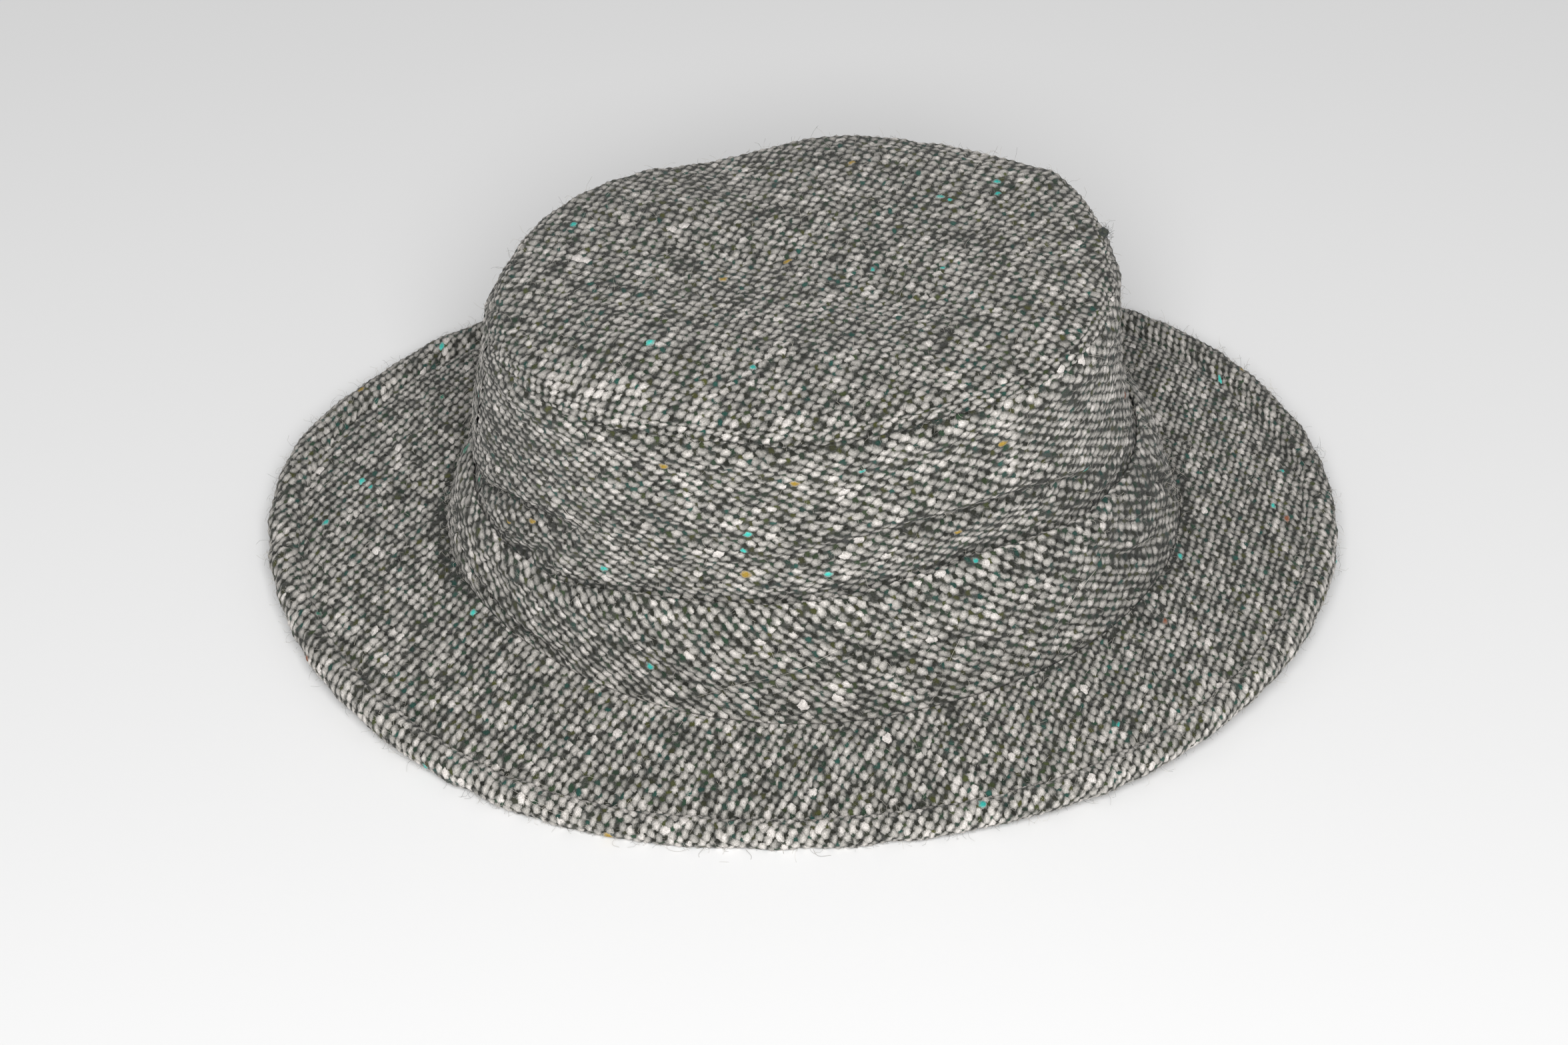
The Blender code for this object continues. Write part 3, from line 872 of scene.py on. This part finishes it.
def blend(tree, share, first, second):
    """Mix two colours by a share."""
    return add(tree, "ShaderNodeMix", {0: share, 6: first, 7: second}, data_type="RGBA").outputs[2]


def ramp(tree, value, stops, step=False):
    """Add a colour ramp from columns of place and hex colour."""
    made = add(tree, "ShaderNodeValToRGB", (value,))
    made.color_ramp.interpolation = "CONSTANT" if step else "LINEAR"
    elements = made.color_ramp.elements
    for place, code in stops[1:-1]:
        elements.new(place).color = linear(code)
    elements[0].position, elements[0].color = stops[0][0], linear(stops[0][1])
    elements[-1].position, elements[-1].color = stops[-1][0], linear(stops[-1][1])
    return made.outputs[0]


def new_material(name):
    """Return a new material, its node tree and its shader."""
    material = bpy.data.materials.new(name)
    material.use_nodes = True
    return material, material.node_tree, material.node_tree.nodes["Principled BSDF"]


def dress(piece, material):
    """Give a piece its one material."""
    piece.data.materials.clear()
    piece.data.materials.append(material)


# %% [markdown]
# ## Knuckles
# Where a yarn passes over its neighbour it shows as a knuckle, an oval leaned by the yarn's twist. The
# knuckles of one yarn form a checkerboard, which is a plain square lattice when it is turned by 45 degrees.
# So the lattice's floor finds the nearest knuckle, white noise gives each its own chances, and one Mapping
# node turns the rest into a place where 1 is the knuckle's rim. A second Mapping node lines the knuckles up
# along their own yarn, so that slow noise can make each yarn thick and pale in one stretch and thin and
# dull in the next, as spun wool is.

# %% Knuckle helpers
LATTICE_TURN = math.radians(45)
LATTICE_SCALE = math.sqrt(0.5)
SLUB = (1.8 * LATTICE_SCALE, 0.19 * LATTICE_SCALE, 1)
JITTER = 0.34
JITTER_MIDDLE = 0.5 - JITTER / 2


def knuckles(tree, lattice, start, size, lean, yarn_turn):
    """Find a yarn's nearest knuckle: its chances, its yarn's slub and the place inside it."""
    moved = vectors(tree, "ADD", lattice, start)
    cell = vectors(tree, "FLOOR", moved)
    chance = add(tree, "ShaderNodeTexWhiteNoise", (cell,), noise_dimensions="3D").outputs["Color"]
    centred = moved
    for part in (cell, scaled(tree, chance, JITTER), (JITTER_MIDDLE, JITTER_MIDDLE, 0.0)):
        centred = vectors(tree, "SUBTRACT", centred, part)
    size = (size[0] * LATTICE_SCALE, size[1] * LATTICE_SCALE, 1)
    slub = noise(tree, mapped(tree, cell, yarn_turn, SLUB), 1.0, 1.0)
    return add(tree, SEPARATE, (chance,)).outputs, slub, mapped(tree, centred, lean - LATTICE_TURN, size)


def dome(tree, place, ragged, grow):
    """Height of a knuckle: 1 at its middle and falling softly to 0 at its ragged rim."""
    flat = vectors(tree, "MULTIPLY", place, (1.0, 1.0, 0.0))
    reach = maths(tree, "DIVIDE", vectors(tree, "LENGTH", flat).outputs["Value"], grow)
    reach = maths(tree, "ADD", reach, ragged)
    return maths(tree, "SUBTRACT", 1.0, maths(tree, "MULTIPLY", reach, reach), use_clamp=True)


# %% [markdown]
# ## The woven material
# The shader weaves the same cloth as the mesh, from the same thread numbers, but finer. Light knuckles are
# broad and pale, and the charcoal ones between them lower and thinner. Twist and pull lean the light
# knuckles differently on each piece. Noise stretched along the same lean draws the strands and finer hairs,
# and the heights drive a bump that is finer than the mesh and a painted shade, darker between the knuckles
# and palest at each knuckle's middle. Where the points' painted shading is high, in creases, seams and
# shaded hollows, painted shade shrinks the light yarn and darkens the cloth so that the charcoal one shows.
# Where it is low, on the tip's roll and the brim edge's near side, painted light makes the light yarn show
# more.

# %% Tweed material
LIGHT_STOPS = ((0.05, "#52524e"), (0.3, "#72716b"), (0.55, "#8f8c87"), (0.78, "#aeaaa4"), (0.98, "#d3cdc8"))
DARK_STOPS = (
    (0.0, "#191a14"), (0.42, "#26271f"), (0.58, "#1e3526"), (0.7, "#3b3d1b"), (0.84, "#292a22"),
    (1.0, "#1b423a"),
)
FLECK_STOPS = ((0.0, "#2fa79d"), (0.34, "#23735c"), (0.44, "#a08330"), (0.78, "#3fc0b3"), (0.94, "#875238"))
FLECK_SHARE = 0.995
NUB_SHARE = 0.004
NUB_GROWS = 0.4
LIGHT_KNUCKLE = (1.06, 0.7)
DARK_KNUCKLE = (0.54, 0.46)
LIGHT_LEANS = {"crown_tip_tweed": 12, "crown_wall_tweed": -20, "hat_band_tweed": -24, "brim_tweed": 34}
DARK_LEAN = math.radians(12)
# Columns of the noise along the twist, strands and then finer hairs: size in threads, detail and roughness.
STRANDS = (((0.34, 0.17, 1), 3.0, 0.65), ((0.2, 0.08, 1), 2.0, 0.6))
BEND = 0.45
FRAY = 0.18
DARK_LOWER = 0.92
BUMP_HEIGHT = 0.0005


def tweed(name, lean):
    """Make one piece's woven wool, with its light knuckles' lean."""
    material, tree, shader = new_material(name)
    threads = add(tree, "ShaderNodeUVMap", uv_map="Threads")
    painted_light_and_shade = add(tree, "ShaderNodeAttribute", attribute_name="painted_light_and_shade").outputs["Fac"]
    bend = swing(tree, noise(tree, threads, 0.9, 1.0), 2 * BEND)
    fray = swing(tree, noise(tree, threads, 4.5, 2.0, 0.7), 2 * FRAY)
    woven = vectors(tree, "ADD", threads, vectors(tree, "ADD", bend, fray))
    lattice = mapped(tree, woven, -LATTICE_TURN, (LATTICE_SCALE, LATTICE_SCALE, 0), "POINT")
    chances, slub, place = knuckles(tree, lattice, (0.0, 0.5, 0.0), LIGHT_KNUCKLE, lean, -LATTICE_TURN)
    dark_chances, dark_slub, dark_place = knuckles(
        tree, lattice, (0.5, 0.0, 3.0), DARK_KNUCKLE, DARK_LEAN - math.pi / 2, LATTICE_TURN
    )
    patch = noise(tree, mapped(tree, threads, 0, (0.2, 0.24, 1), "POINT"), 1.0, 2.0, 0.55)
    ragged = spread(tree, noise(tree, threads, 5.0, 2.0, 0.6), -0.12, 0.12, 0.25, 0.75)
    nub = maths(tree, "LESS_THAN", chances[2], NUB_SHARE)
    strands, fine = [
        noise(tree, mapped(tree, threads, lean, size), 1.0, *settings) for size, *settings in STRANDS
    ]

    # Painted shade and light: the light knuckles are drawn smaller where the painted shading is high and
    # larger where it is low.
    grow = weighed(
        tree, spread(tree, slub, 0.58, 1.0), (chances[1], 0.3), (spread(tree, patch, -0.14, 0.14), 1.0),
        (nub, NUB_GROWS), (painted_light_and_shade, -0.3),
    )
    light_height = dome(tree, place, ragged, grow)
    dark_height = dome(tree, dark_place, ragged, spread(tree, dark_slub, 0.85, 1.15))
    dark_height = maths(tree, "MULTIPLY", dark_height, DARK_LOWER)
    over = maths(tree, "SUBTRACT", light_height, dark_height)
    over = maths(tree, "ADD", spread(tree, strands, -0.32, 0.32), over)
    shown = spread(tree, over, 0.0, 1.0, -0.48, 0.34, interpolation_type="SMOOTHSTEP")
    height = maths(tree, "MAXIMUM", light_height, dark_height)

    # Painted shade: the light yarn's tone rises with its knuckle's height, so each knuckle is palest in its
    # middle, and it falls where the painted shading is high.
    tone = weighed(
        tree, spread(tree, slub, 0.0, 0.32), (chances[0], 0.24), (spread(tree, patch, -0.34, -0.08), 1.0),
        (light_height, 0.74), (nub, NUB_GROWS), (painted_light_and_shade, -0.15),
    )
    light = ramp(tree, tone, LIGHT_STOPS)
    tone = weighed(
        tree, spread(tree, dark_slub, 0.55, 1.35), (spread(tree, patch, -0.2, 0.3), 1.0),
        (dark_chances[1], 0.5),
    )
    dark = scaled(tree, ramp(tree, dark_chances[0], DARK_STOPS), tone)
    marl = spread(tree, strands, 0.0, 0.3, 0.56, 0.72)
    base = blend(tree, shown, blend(tree, marl, dark, light), light)
    tuft = spread(tree, light_height, 0.0, 1.0, 0.45, 0.9)
    flecked = maths(tree, "MULTIPLY", maths(tree, "GREATER_THAN", chances[2], FLECK_SHARE), tuft)
    base = blend(tree, flecked, base, ramp(tree, chances[1], FLECK_STOPS, step=True))

    # Painted shade: the colour darkens where the knuckles are low, between them, and again where the painted
    # shading is high. The strands and hairs multiplied in next are the wool's own grain.
    shade = weighed(tree, spread(tree, height, 0.76, 1.08, 0.0, 0.7), (painted_light_and_shade, -0.18))
    for part in (spread(tree, strands, 0.72, 1.28), spread(tree, fine, 0.66, 1.34)):
        shade = maths(tree, "MULTIPLY", shade, part)
    surface = weighed(tree, height, (strands, 0.35))
    bump = add(tree, "ShaderNodeBump", {"Strength": 0.7, "Distance": BUMP_HEIGHT, "Height": surface})
    feed(tree, shader, {
        "Base Color": scaled(tree, base, shade), "Normal": bump, "Roughness": 0.95,
        "Specular IOR Level": 0.2, "Sheen Weight": 0.12, "Sheen Roughness": 0.6,
    })
    return material


for piece in (tip, wall, band, brim_piece):
    dress(piece, tweed(piece.name, math.radians(LIGHT_LEANS[piece.name])))
print("tweed on", len(bpy.data.materials), "materials")

# %% [markdown]
# ## Loose fibres
# Carded wool sheds fine fibres all over, and they blur the hat's outline. Each could be drawn by hand, but
# there are thousands. Geometry Nodes scatters points on the cloth, puts a short bowed curve on each, shakes
# the curves with noise and turns them to three-sided tubes, and the result is kept as a plain mesh. Under
# the rim they lie flat on what the hat rests on. A real fibre is about 0.03 mm thick, and these are drawn
# twice as thick so that they show.

# %% Grow the fibres
FIBRE_RADIUS = 0.00003
FIBRE_LENGTHS = (0.001, 0.0048)
FIBRE_SHAKE = 0.0016
FIBRE_STEPS = 3
FIBRE_TILTS = ((-0.5, -0.9, 0), (0.5, 0.25, 2 * math.pi))


def fibre_nodes(density, seed):
    """Return the node tree that grows fibres where the cloth's nap shows."""
    tree = bpy.data.node_groups.new("loose_fibres", "GeometryNodeTree")
    for way in ("INPUT", "OUTPUT"):
        tree.interface.new_socket("Geometry", in_out=way, socket_type="NodeSocketGeometry")
    cloth = add(tree, "NodeGroupInput")
    nap = add(tree, "GeometryNodeInputNamedAttribute", {"Name": "nap"}, data_type="FLOAT")
    points = add(tree, "GeometryNodeDistributePointsOnFaces", {
        "Mesh": cloth, "Density": maths(tree, "MULTIPLY", nap, density), "Seed": seed,
    })
    bow = add(tree, "GeometryNodeCurveQuadraticBezier", {
        "Resolution": FIBRE_STEPS, "Start": (0, 0, -0.05), "Middle": (0.45, 0, 0.42), "End": (1.0, 0, 0.12),
    })
    spin = {0: FIBRE_TILTS[0], 1: FIBRE_TILTS[1], "Seed": seed}
    spin = add(tree, "FunctionNodeRandomValue", spin, data_type="FLOAT_VECTOR")
    turn = (points.outputs["Rotation"], spin)
    turn = add(tree, "FunctionNodeRotateRotation", turn, rotation_space="LOCAL")
    length = add(tree, "FunctionNodeRandomValue", {"Seed": seed + 1}, data_type="FLOAT")
    length = spread(tree, maths(tree, "POWER", length.outputs[1], 2.5), *FIBRE_LENGTHS, 0.0, 1.0)
    placed = add(tree, "GeometryNodeInstanceOnPoints", {
        "Points": points, "Instance": bow, "Rotation": turn, "Scale": length,
    })
    curves = add(tree, "GeometryNodeRealizeInstances", {0: placed})
    factor = add(tree, "GeometryNodeSplineParameter")
    shake = noise(tree, add(tree, "GeometryNodeInputPosition"), 420.0, 1.0)
    shake = swing(tree, shake, maths(tree, "MULTIPLY", factor, FIBRE_SHAKE * 2))
    curves = add(tree, "GeometryNodeSetPosition", {"Geometry": curves, "Offset": shake})
    x, y, z = add(tree, SEPARATE, (add(tree, "GeometryNodeInputPosition"),)).outputs
    over = add(tree, "ShaderNodeCombineXYZ", (x, y, maths(tree, "MAXIMUM", z, FIBRE_RADIUS)))
    curves = add(tree, "GeometryNodeSetPosition", {"Geometry": curves, "Position": over})
    thin = weighed(tree, 1.0, (factor, -0.6))
    curves = add(tree, "GeometryNodeSetCurveRadius", {"Curve": curves, "Radius": thin})
    ring = add(tree, "GeometryNodeCurvePrimitiveCircle", {"Resolution": 3, "Radius": FIBRE_RADIUS})
    tubes = add(tree, "GeometryNodeCurveToMesh", {"Curve": curves, "Profile Curve": ring, "Fill Caps": True})
    add(tree, "NodeGroupOutput", {0: tubes})
    return tree


def evaluated_mesh(piece):
    """Return an object's final shape as a plain mesh."""
    graph = bpy.context.evaluated_depsgraph_get()
    return bpy.data.meshes.new_from_object(piece.evaluated_get(graph))


def loose_fibres(cloth, count, seed):
    """Grow about a number of fibres on a piece of cloth, as one object."""
    shown = np.empty(len(cloth.data.vertices))
    cloth.data.attributes["nap"].data.foreach_get("value", shown)
    area = sum(face.area * shown[face.vertices[0]] for face in cloth.data.polygons)
    piece = add_object(cloth.name.replace("tweed", "fibres"), cloth.data.copy())
    piece.modifiers.new("grow", "NODES").node_group = fibre_nodes(count / area, seed)
    mesh = evaluated_mesh(piece)
    piece.modifiers.clear()
    piece.data = mesh
    print(piece.name, count_triangles(mesh), "triangles on", round(area * 10000), "square centimetres")
    return piece


def wool(name, stops, scale):
    """Make loose wool whose colour changes, with a number of patches to the metre."""
    material, tree, shader = new_material(name)
    patch = noise(tree, add(tree, "ShaderNodeTexCoord").outputs["Object"], scale, 1.0)
    feed(tree, shader, {"Base Color": ramp(tree, patch, stops), "Roughness": 0.8, "Sheen Weight": 0.2})
    return material


carded_wool = wool("carded_wool", ((0.34, "#3a403d"), (0.46, "#8e8b84"), (0.6, "#d8d2c6")), 260.0)
FIBRES = ((tip, 3200, 1), (wall, 2400, 2), (band, 2000, 3), (brim_piece, 7200, 4))
fibre_pieces = [loose_fibres(cloth, count, seed) for cloth, count, seed in FIBRES]
for piece in fibre_pieces:
    dress(piece, carded_wool)

# %% [markdown]
# ## The knot
# At the back right of the tip a charcoal thread ends in a fuzzy knot on the outline. It is a small ball,
# pushed about by ripples until it looks wound, with fibres of its own.

# %% Tie the knot
KNOT_ANGLE = 10
KNOT_REACH = 0.968
KNOT_RADIUS = 0.0014
KNOT_LUMP_LENGTH = 0.0011
KNOT_LUMPS = 0.22
KNOT_SEED = 200


def thread_knot():
    """Make the knot as a lumpy ball that sits on the tip's rounded edge."""
    outline = 1 + (around(TIP_OUTLINE, KNOT_ANGLE) - 1) * KNOT_REACH
    x, y = oval(KNOT_ANGLE, TIP_LENGTH / 2 * KNOT_REACH, TIP_WIDTH / 2 * KNOT_REACH, outline, SEAM_PLUMP)
    z = float(seam_height(KNOT_REACH, KNOT_ANGLE) + TURN_DOWN * (1 - through(TIP_SECTION, KNOT_REACH)))
    z = z + KNOT_RADIUS / 2
    bm = bmesh.new()
    bmesh.ops.create_icosphere(bm, subdivisions=3, radius=KNOT_RADIUS)
    for vertex in bm.verts:
        first, second = vertex.co.x + 2 * vertex.co.z, vertex.co.y - vertex.co.z
        vertex.co *= 1 + KNOT_LUMPS * float(ripple(first, second, KNOT_LUMP_LENGTH, KNOT_SEED))
    bmesh.ops.translate(bm, verts=bm.verts, vec=(float(x), float(y), z))
    mesh = as_mesh("tip_knot", bm)
    write_share(mesh, "nap", np.ones(len(mesh.vertices)))
    return close_piece("tip_knot", mesh)


charcoal_wool = wool("charcoal_wool", ((0.3, "#1d211f"), (0.5, "#343a36"), (0.7, "#4a4d3c")), 900.0)
knot = thread_knot()
knot_fuzz = loose_fibres(knot, 70, 5)
dress(knot, charcoal_wool)
dress(knot_fuzz, charcoal_wool)

# %% [markdown]
# ## Stray hairs
# A few long hairs lie loose on the cloth and loop out under the rim. Each is a smooth curve through a few
# places on the cloth, lifted a little, and a bevel makes it a thin tube.

# %% Lay the hairs
HAIR_RADIUS = 0.00004
# Rows of a surface, then places on it: angle, height share or turn round the edge, and lift in millimetres.
HAIRS = (
    ("band", ((294, 0.5, 0.4), (292, 0.38, 1.0), (290, 0.2, 1.0), (287, 0.03, 0.5))),
    ("band", ((252, 0.2, 0.5), (259, 0.38, 0.9), (267, 0.5, 0.9), (274, 0.63, 0.4))),
    ("band", ((310, 0.3, 0.5), (316, 0.52, 1.2), (321, 0.6, 0.6))),
    ("wall", ((229, 0.99, 0.6), (230, 0.95, 1.4), (230, 0.9, 0.5))),
    ("wall", ((224, 0.63, 0.4), (226, 0.61, 1.2), (228, 0.57, 0.4))),
    ("wall", ((288, 0.71, 0.4), (298, 0.69, 1.0), (308, 0.7, 0.8), (314, 0.73, 0.4))),
    ("wall", ((192, 0.93, 0.4), (190, 0.84, 1.6), (194, 0.78, 0.5))),
    ("rim", ((238, 75, 0.4), (241, 62, 0.9), (245, 55, 0.7), (249, 40, 0.5))),
    ("rim", ((240, 60, 0.4), (243, 45, 1.1), (248, 50, 0.5))),
    ("rim", ((222, 10, 0.3), (223, 5, 1.6), (225, 0, 1.4), (226, -10, 0.3))),
    ("rim", ((259.4, -25, 0.2), (259.0, -30, 3.2), (261.6, -35, 5.4), (264.2, -30, 3.4), (263.6, -20, 0.2))),
    ("rim", ((255.0, -20, 0.2), (256.5, -25, 1.8), (258.5, -20, 0.2))),
    ("rim", ((270.4, -20, 0.2), (270.8, -25, 2.0), (272.2, -25, 2.2))),
    ("rim", ((250.6, -15, 0.2), (250.2, -20, 1.8), (251.0, -20, 2.6))),
)


def surface_place(surface, angle, height, lift):
    """Return a place over one surface of the hat."""
    if surface == "rim":
        turn = math.radians(height)
        x, y, z = edge_middle(angle, (EDGE_WIDTH / 2 + lift) * math.cos(turn))
        z = max(z + (EDGE_HEIGHT / 2 + lift) * math.sin(turn), HAIR_RADIUS)
    elif surface == "band":
        share = height * BAND_HEIGHT * around(BAND_ROUND, angle) / CROWN_HEIGHT
        x, y, z = wall_point(angle, share, GAP + BAND_CLOTH + BAND_SWELL + lift)
    else:
        x, y, z = wall_point(angle, height, lift)
    return float(x), float(y), float(z)


def stray_hairs():
    """Make all the loose hairs as one mesh of thin tubes."""
    curve = bpy.data.curves.new("stray_hairs", "CURVE")
    curve.dimensions = "3D"
    curve.bevel_depth = HAIR_RADIUS
    curve.bevel_resolution = 0
    curve.resolution_u = 8
    curve.use_fill_caps = True
    for surface, places in HAIRS:
        spline = curve.splines.new("BEZIER")
        spline.bezier_points.add(len(places) - 1)
        for point, (angle, height, lift) in zip(spline.bezier_points, places):
            point.co = surface_place(surface, angle, height, lift / 1000)
            point.handle_left_type = point.handle_right_type = "AUTO"
    drawn = add_object("stray_hairs", curve)
    mesh = evaluated_mesh(drawn)
    bpy.data.objects.remove(drawn)
    return close_piece("stray_hairs", mesh)


hairs = stray_hairs()
dress(hairs, wool("pale_hair", ((0.35, "#8e8b84"), (0.5, "#cfcac0"), (0.65, "#f0ebe0")), 60.0))

# %% [markdown]
# ## Riding and replacing
# Each woven piece stands for the solid it covers. The hat has no joints, so all ride on its one body.

# %% Tie the pieces to the frame
PIECES = (
    (tip, "crown_tip", "tweed_tip"),
    (wall, "crown_wall", "tweed_wall"),
    (band, "hat_band", "tweed_band"),
    (brim_piece, "brim", "tweed_brim"),
)
for (piece, node, slot), fibres in zip(PIECES, fibre_pieces):
    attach(piece, "root")
    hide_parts(node)
    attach(fibres, "root")
for piece, slot in ((knot, "tweed_tip"), (knot_fuzz, "tweed_tip"), (hairs, "tweed_band")):
    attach(piece, "root")

# %% [markdown]
# ## Studio
# The hat lies on a pale sweep under soft light. A large soft light near the camera lights the near side, as
# the photograph's flash does, and a pale sky fills the rest. The camera looks down at 43 degrees. The plain
# Standard view keeps the wool's colours as they were chosen, where a film-like view would make them softer
# and greyer.

# %% Floor, lights and camera
FLOOR_SIZE = 12.0
FLOOR_COLOUR = "#f4f4f4"
LIGHT_PLACE = (0.02, -1.2, 1.25)
LIGHT_AIM = (0, 0, 0.05)
LIGHT_SIZE = 0.8
LIGHT_WATTS = 30
SKY_COLOUR = "#f3f3f3"
SKY_STRENGTH = 0.28
CAMERA_PLACE = (-0.0049, -0.8668, 0.8173)
CAMERA_TURN = (46.994, 0.856, -0.798)
CAMERA_LENS = 94.473
SENSOR = 36.0


def floor_paper():
    """Make a pale matt paper with a faint mottle."""
    material, tree, shader = new_material("floor_paper")
    mottle = noise(tree, add(tree, "ShaderNodeTexCoord").outputs["Object"], 3.0, 2.0)
    level = spread(tree, mottle, 0.985, 1.0, 0.0, 1.0)
    feed(tree, shader, {"Base Color": scaled(tree, linear(FLOOR_COLOUR)[:3], level), "Roughness": 0.9})
    return material


bm = bmesh.new()
bmesh.ops.create_grid(bm, x_segments=1, y_segments=1, size=FLOOR_SIZE / 2)
floor = add_object("floor", as_mesh("floor", bm))
dress(floor, floor_paper())

lamp = bpy.data.lights.new("front_light", "AREA")
lamp.energy = LIGHT_WATTS
lamp.size = LIGHT_SIZE
front_light = add_object("front_light", lamp)
front_light.location = LIGHT_PLACE
way = Vector(LIGHT_AIM) - Vector(LIGHT_PLACE)
front_light.rotation_euler = way.to_track_quat("-Z", "Y").to_euler()

world = bpy.data.worlds.new("pale_room")
world.use_nodes = True
sky = world.node_tree.nodes["Background"]
feed(world.node_tree, sky, {"Color": linear(SKY_COLOUR), "Strength": SKY_STRENGTH})
bpy.context.scene.world = world
bpy.context.scene.view_settings.view_transform = "Standard"

lens = bpy.data.cameras.new("camera")
lens.lens = CAMERA_LENS
lens.sensor_width = SENSOR
lens.clip_start = 0.01
camera = add_object("camera", lens)
camera.location = CAMERA_PLACE
camera.rotation_euler = [math.radians(value) for value in CAMERA_TURN]
bpy.context.scene.camera = camera
print("camera", round(Vector(CAMERA_PLACE).length, 3), "m from the hat's middle")
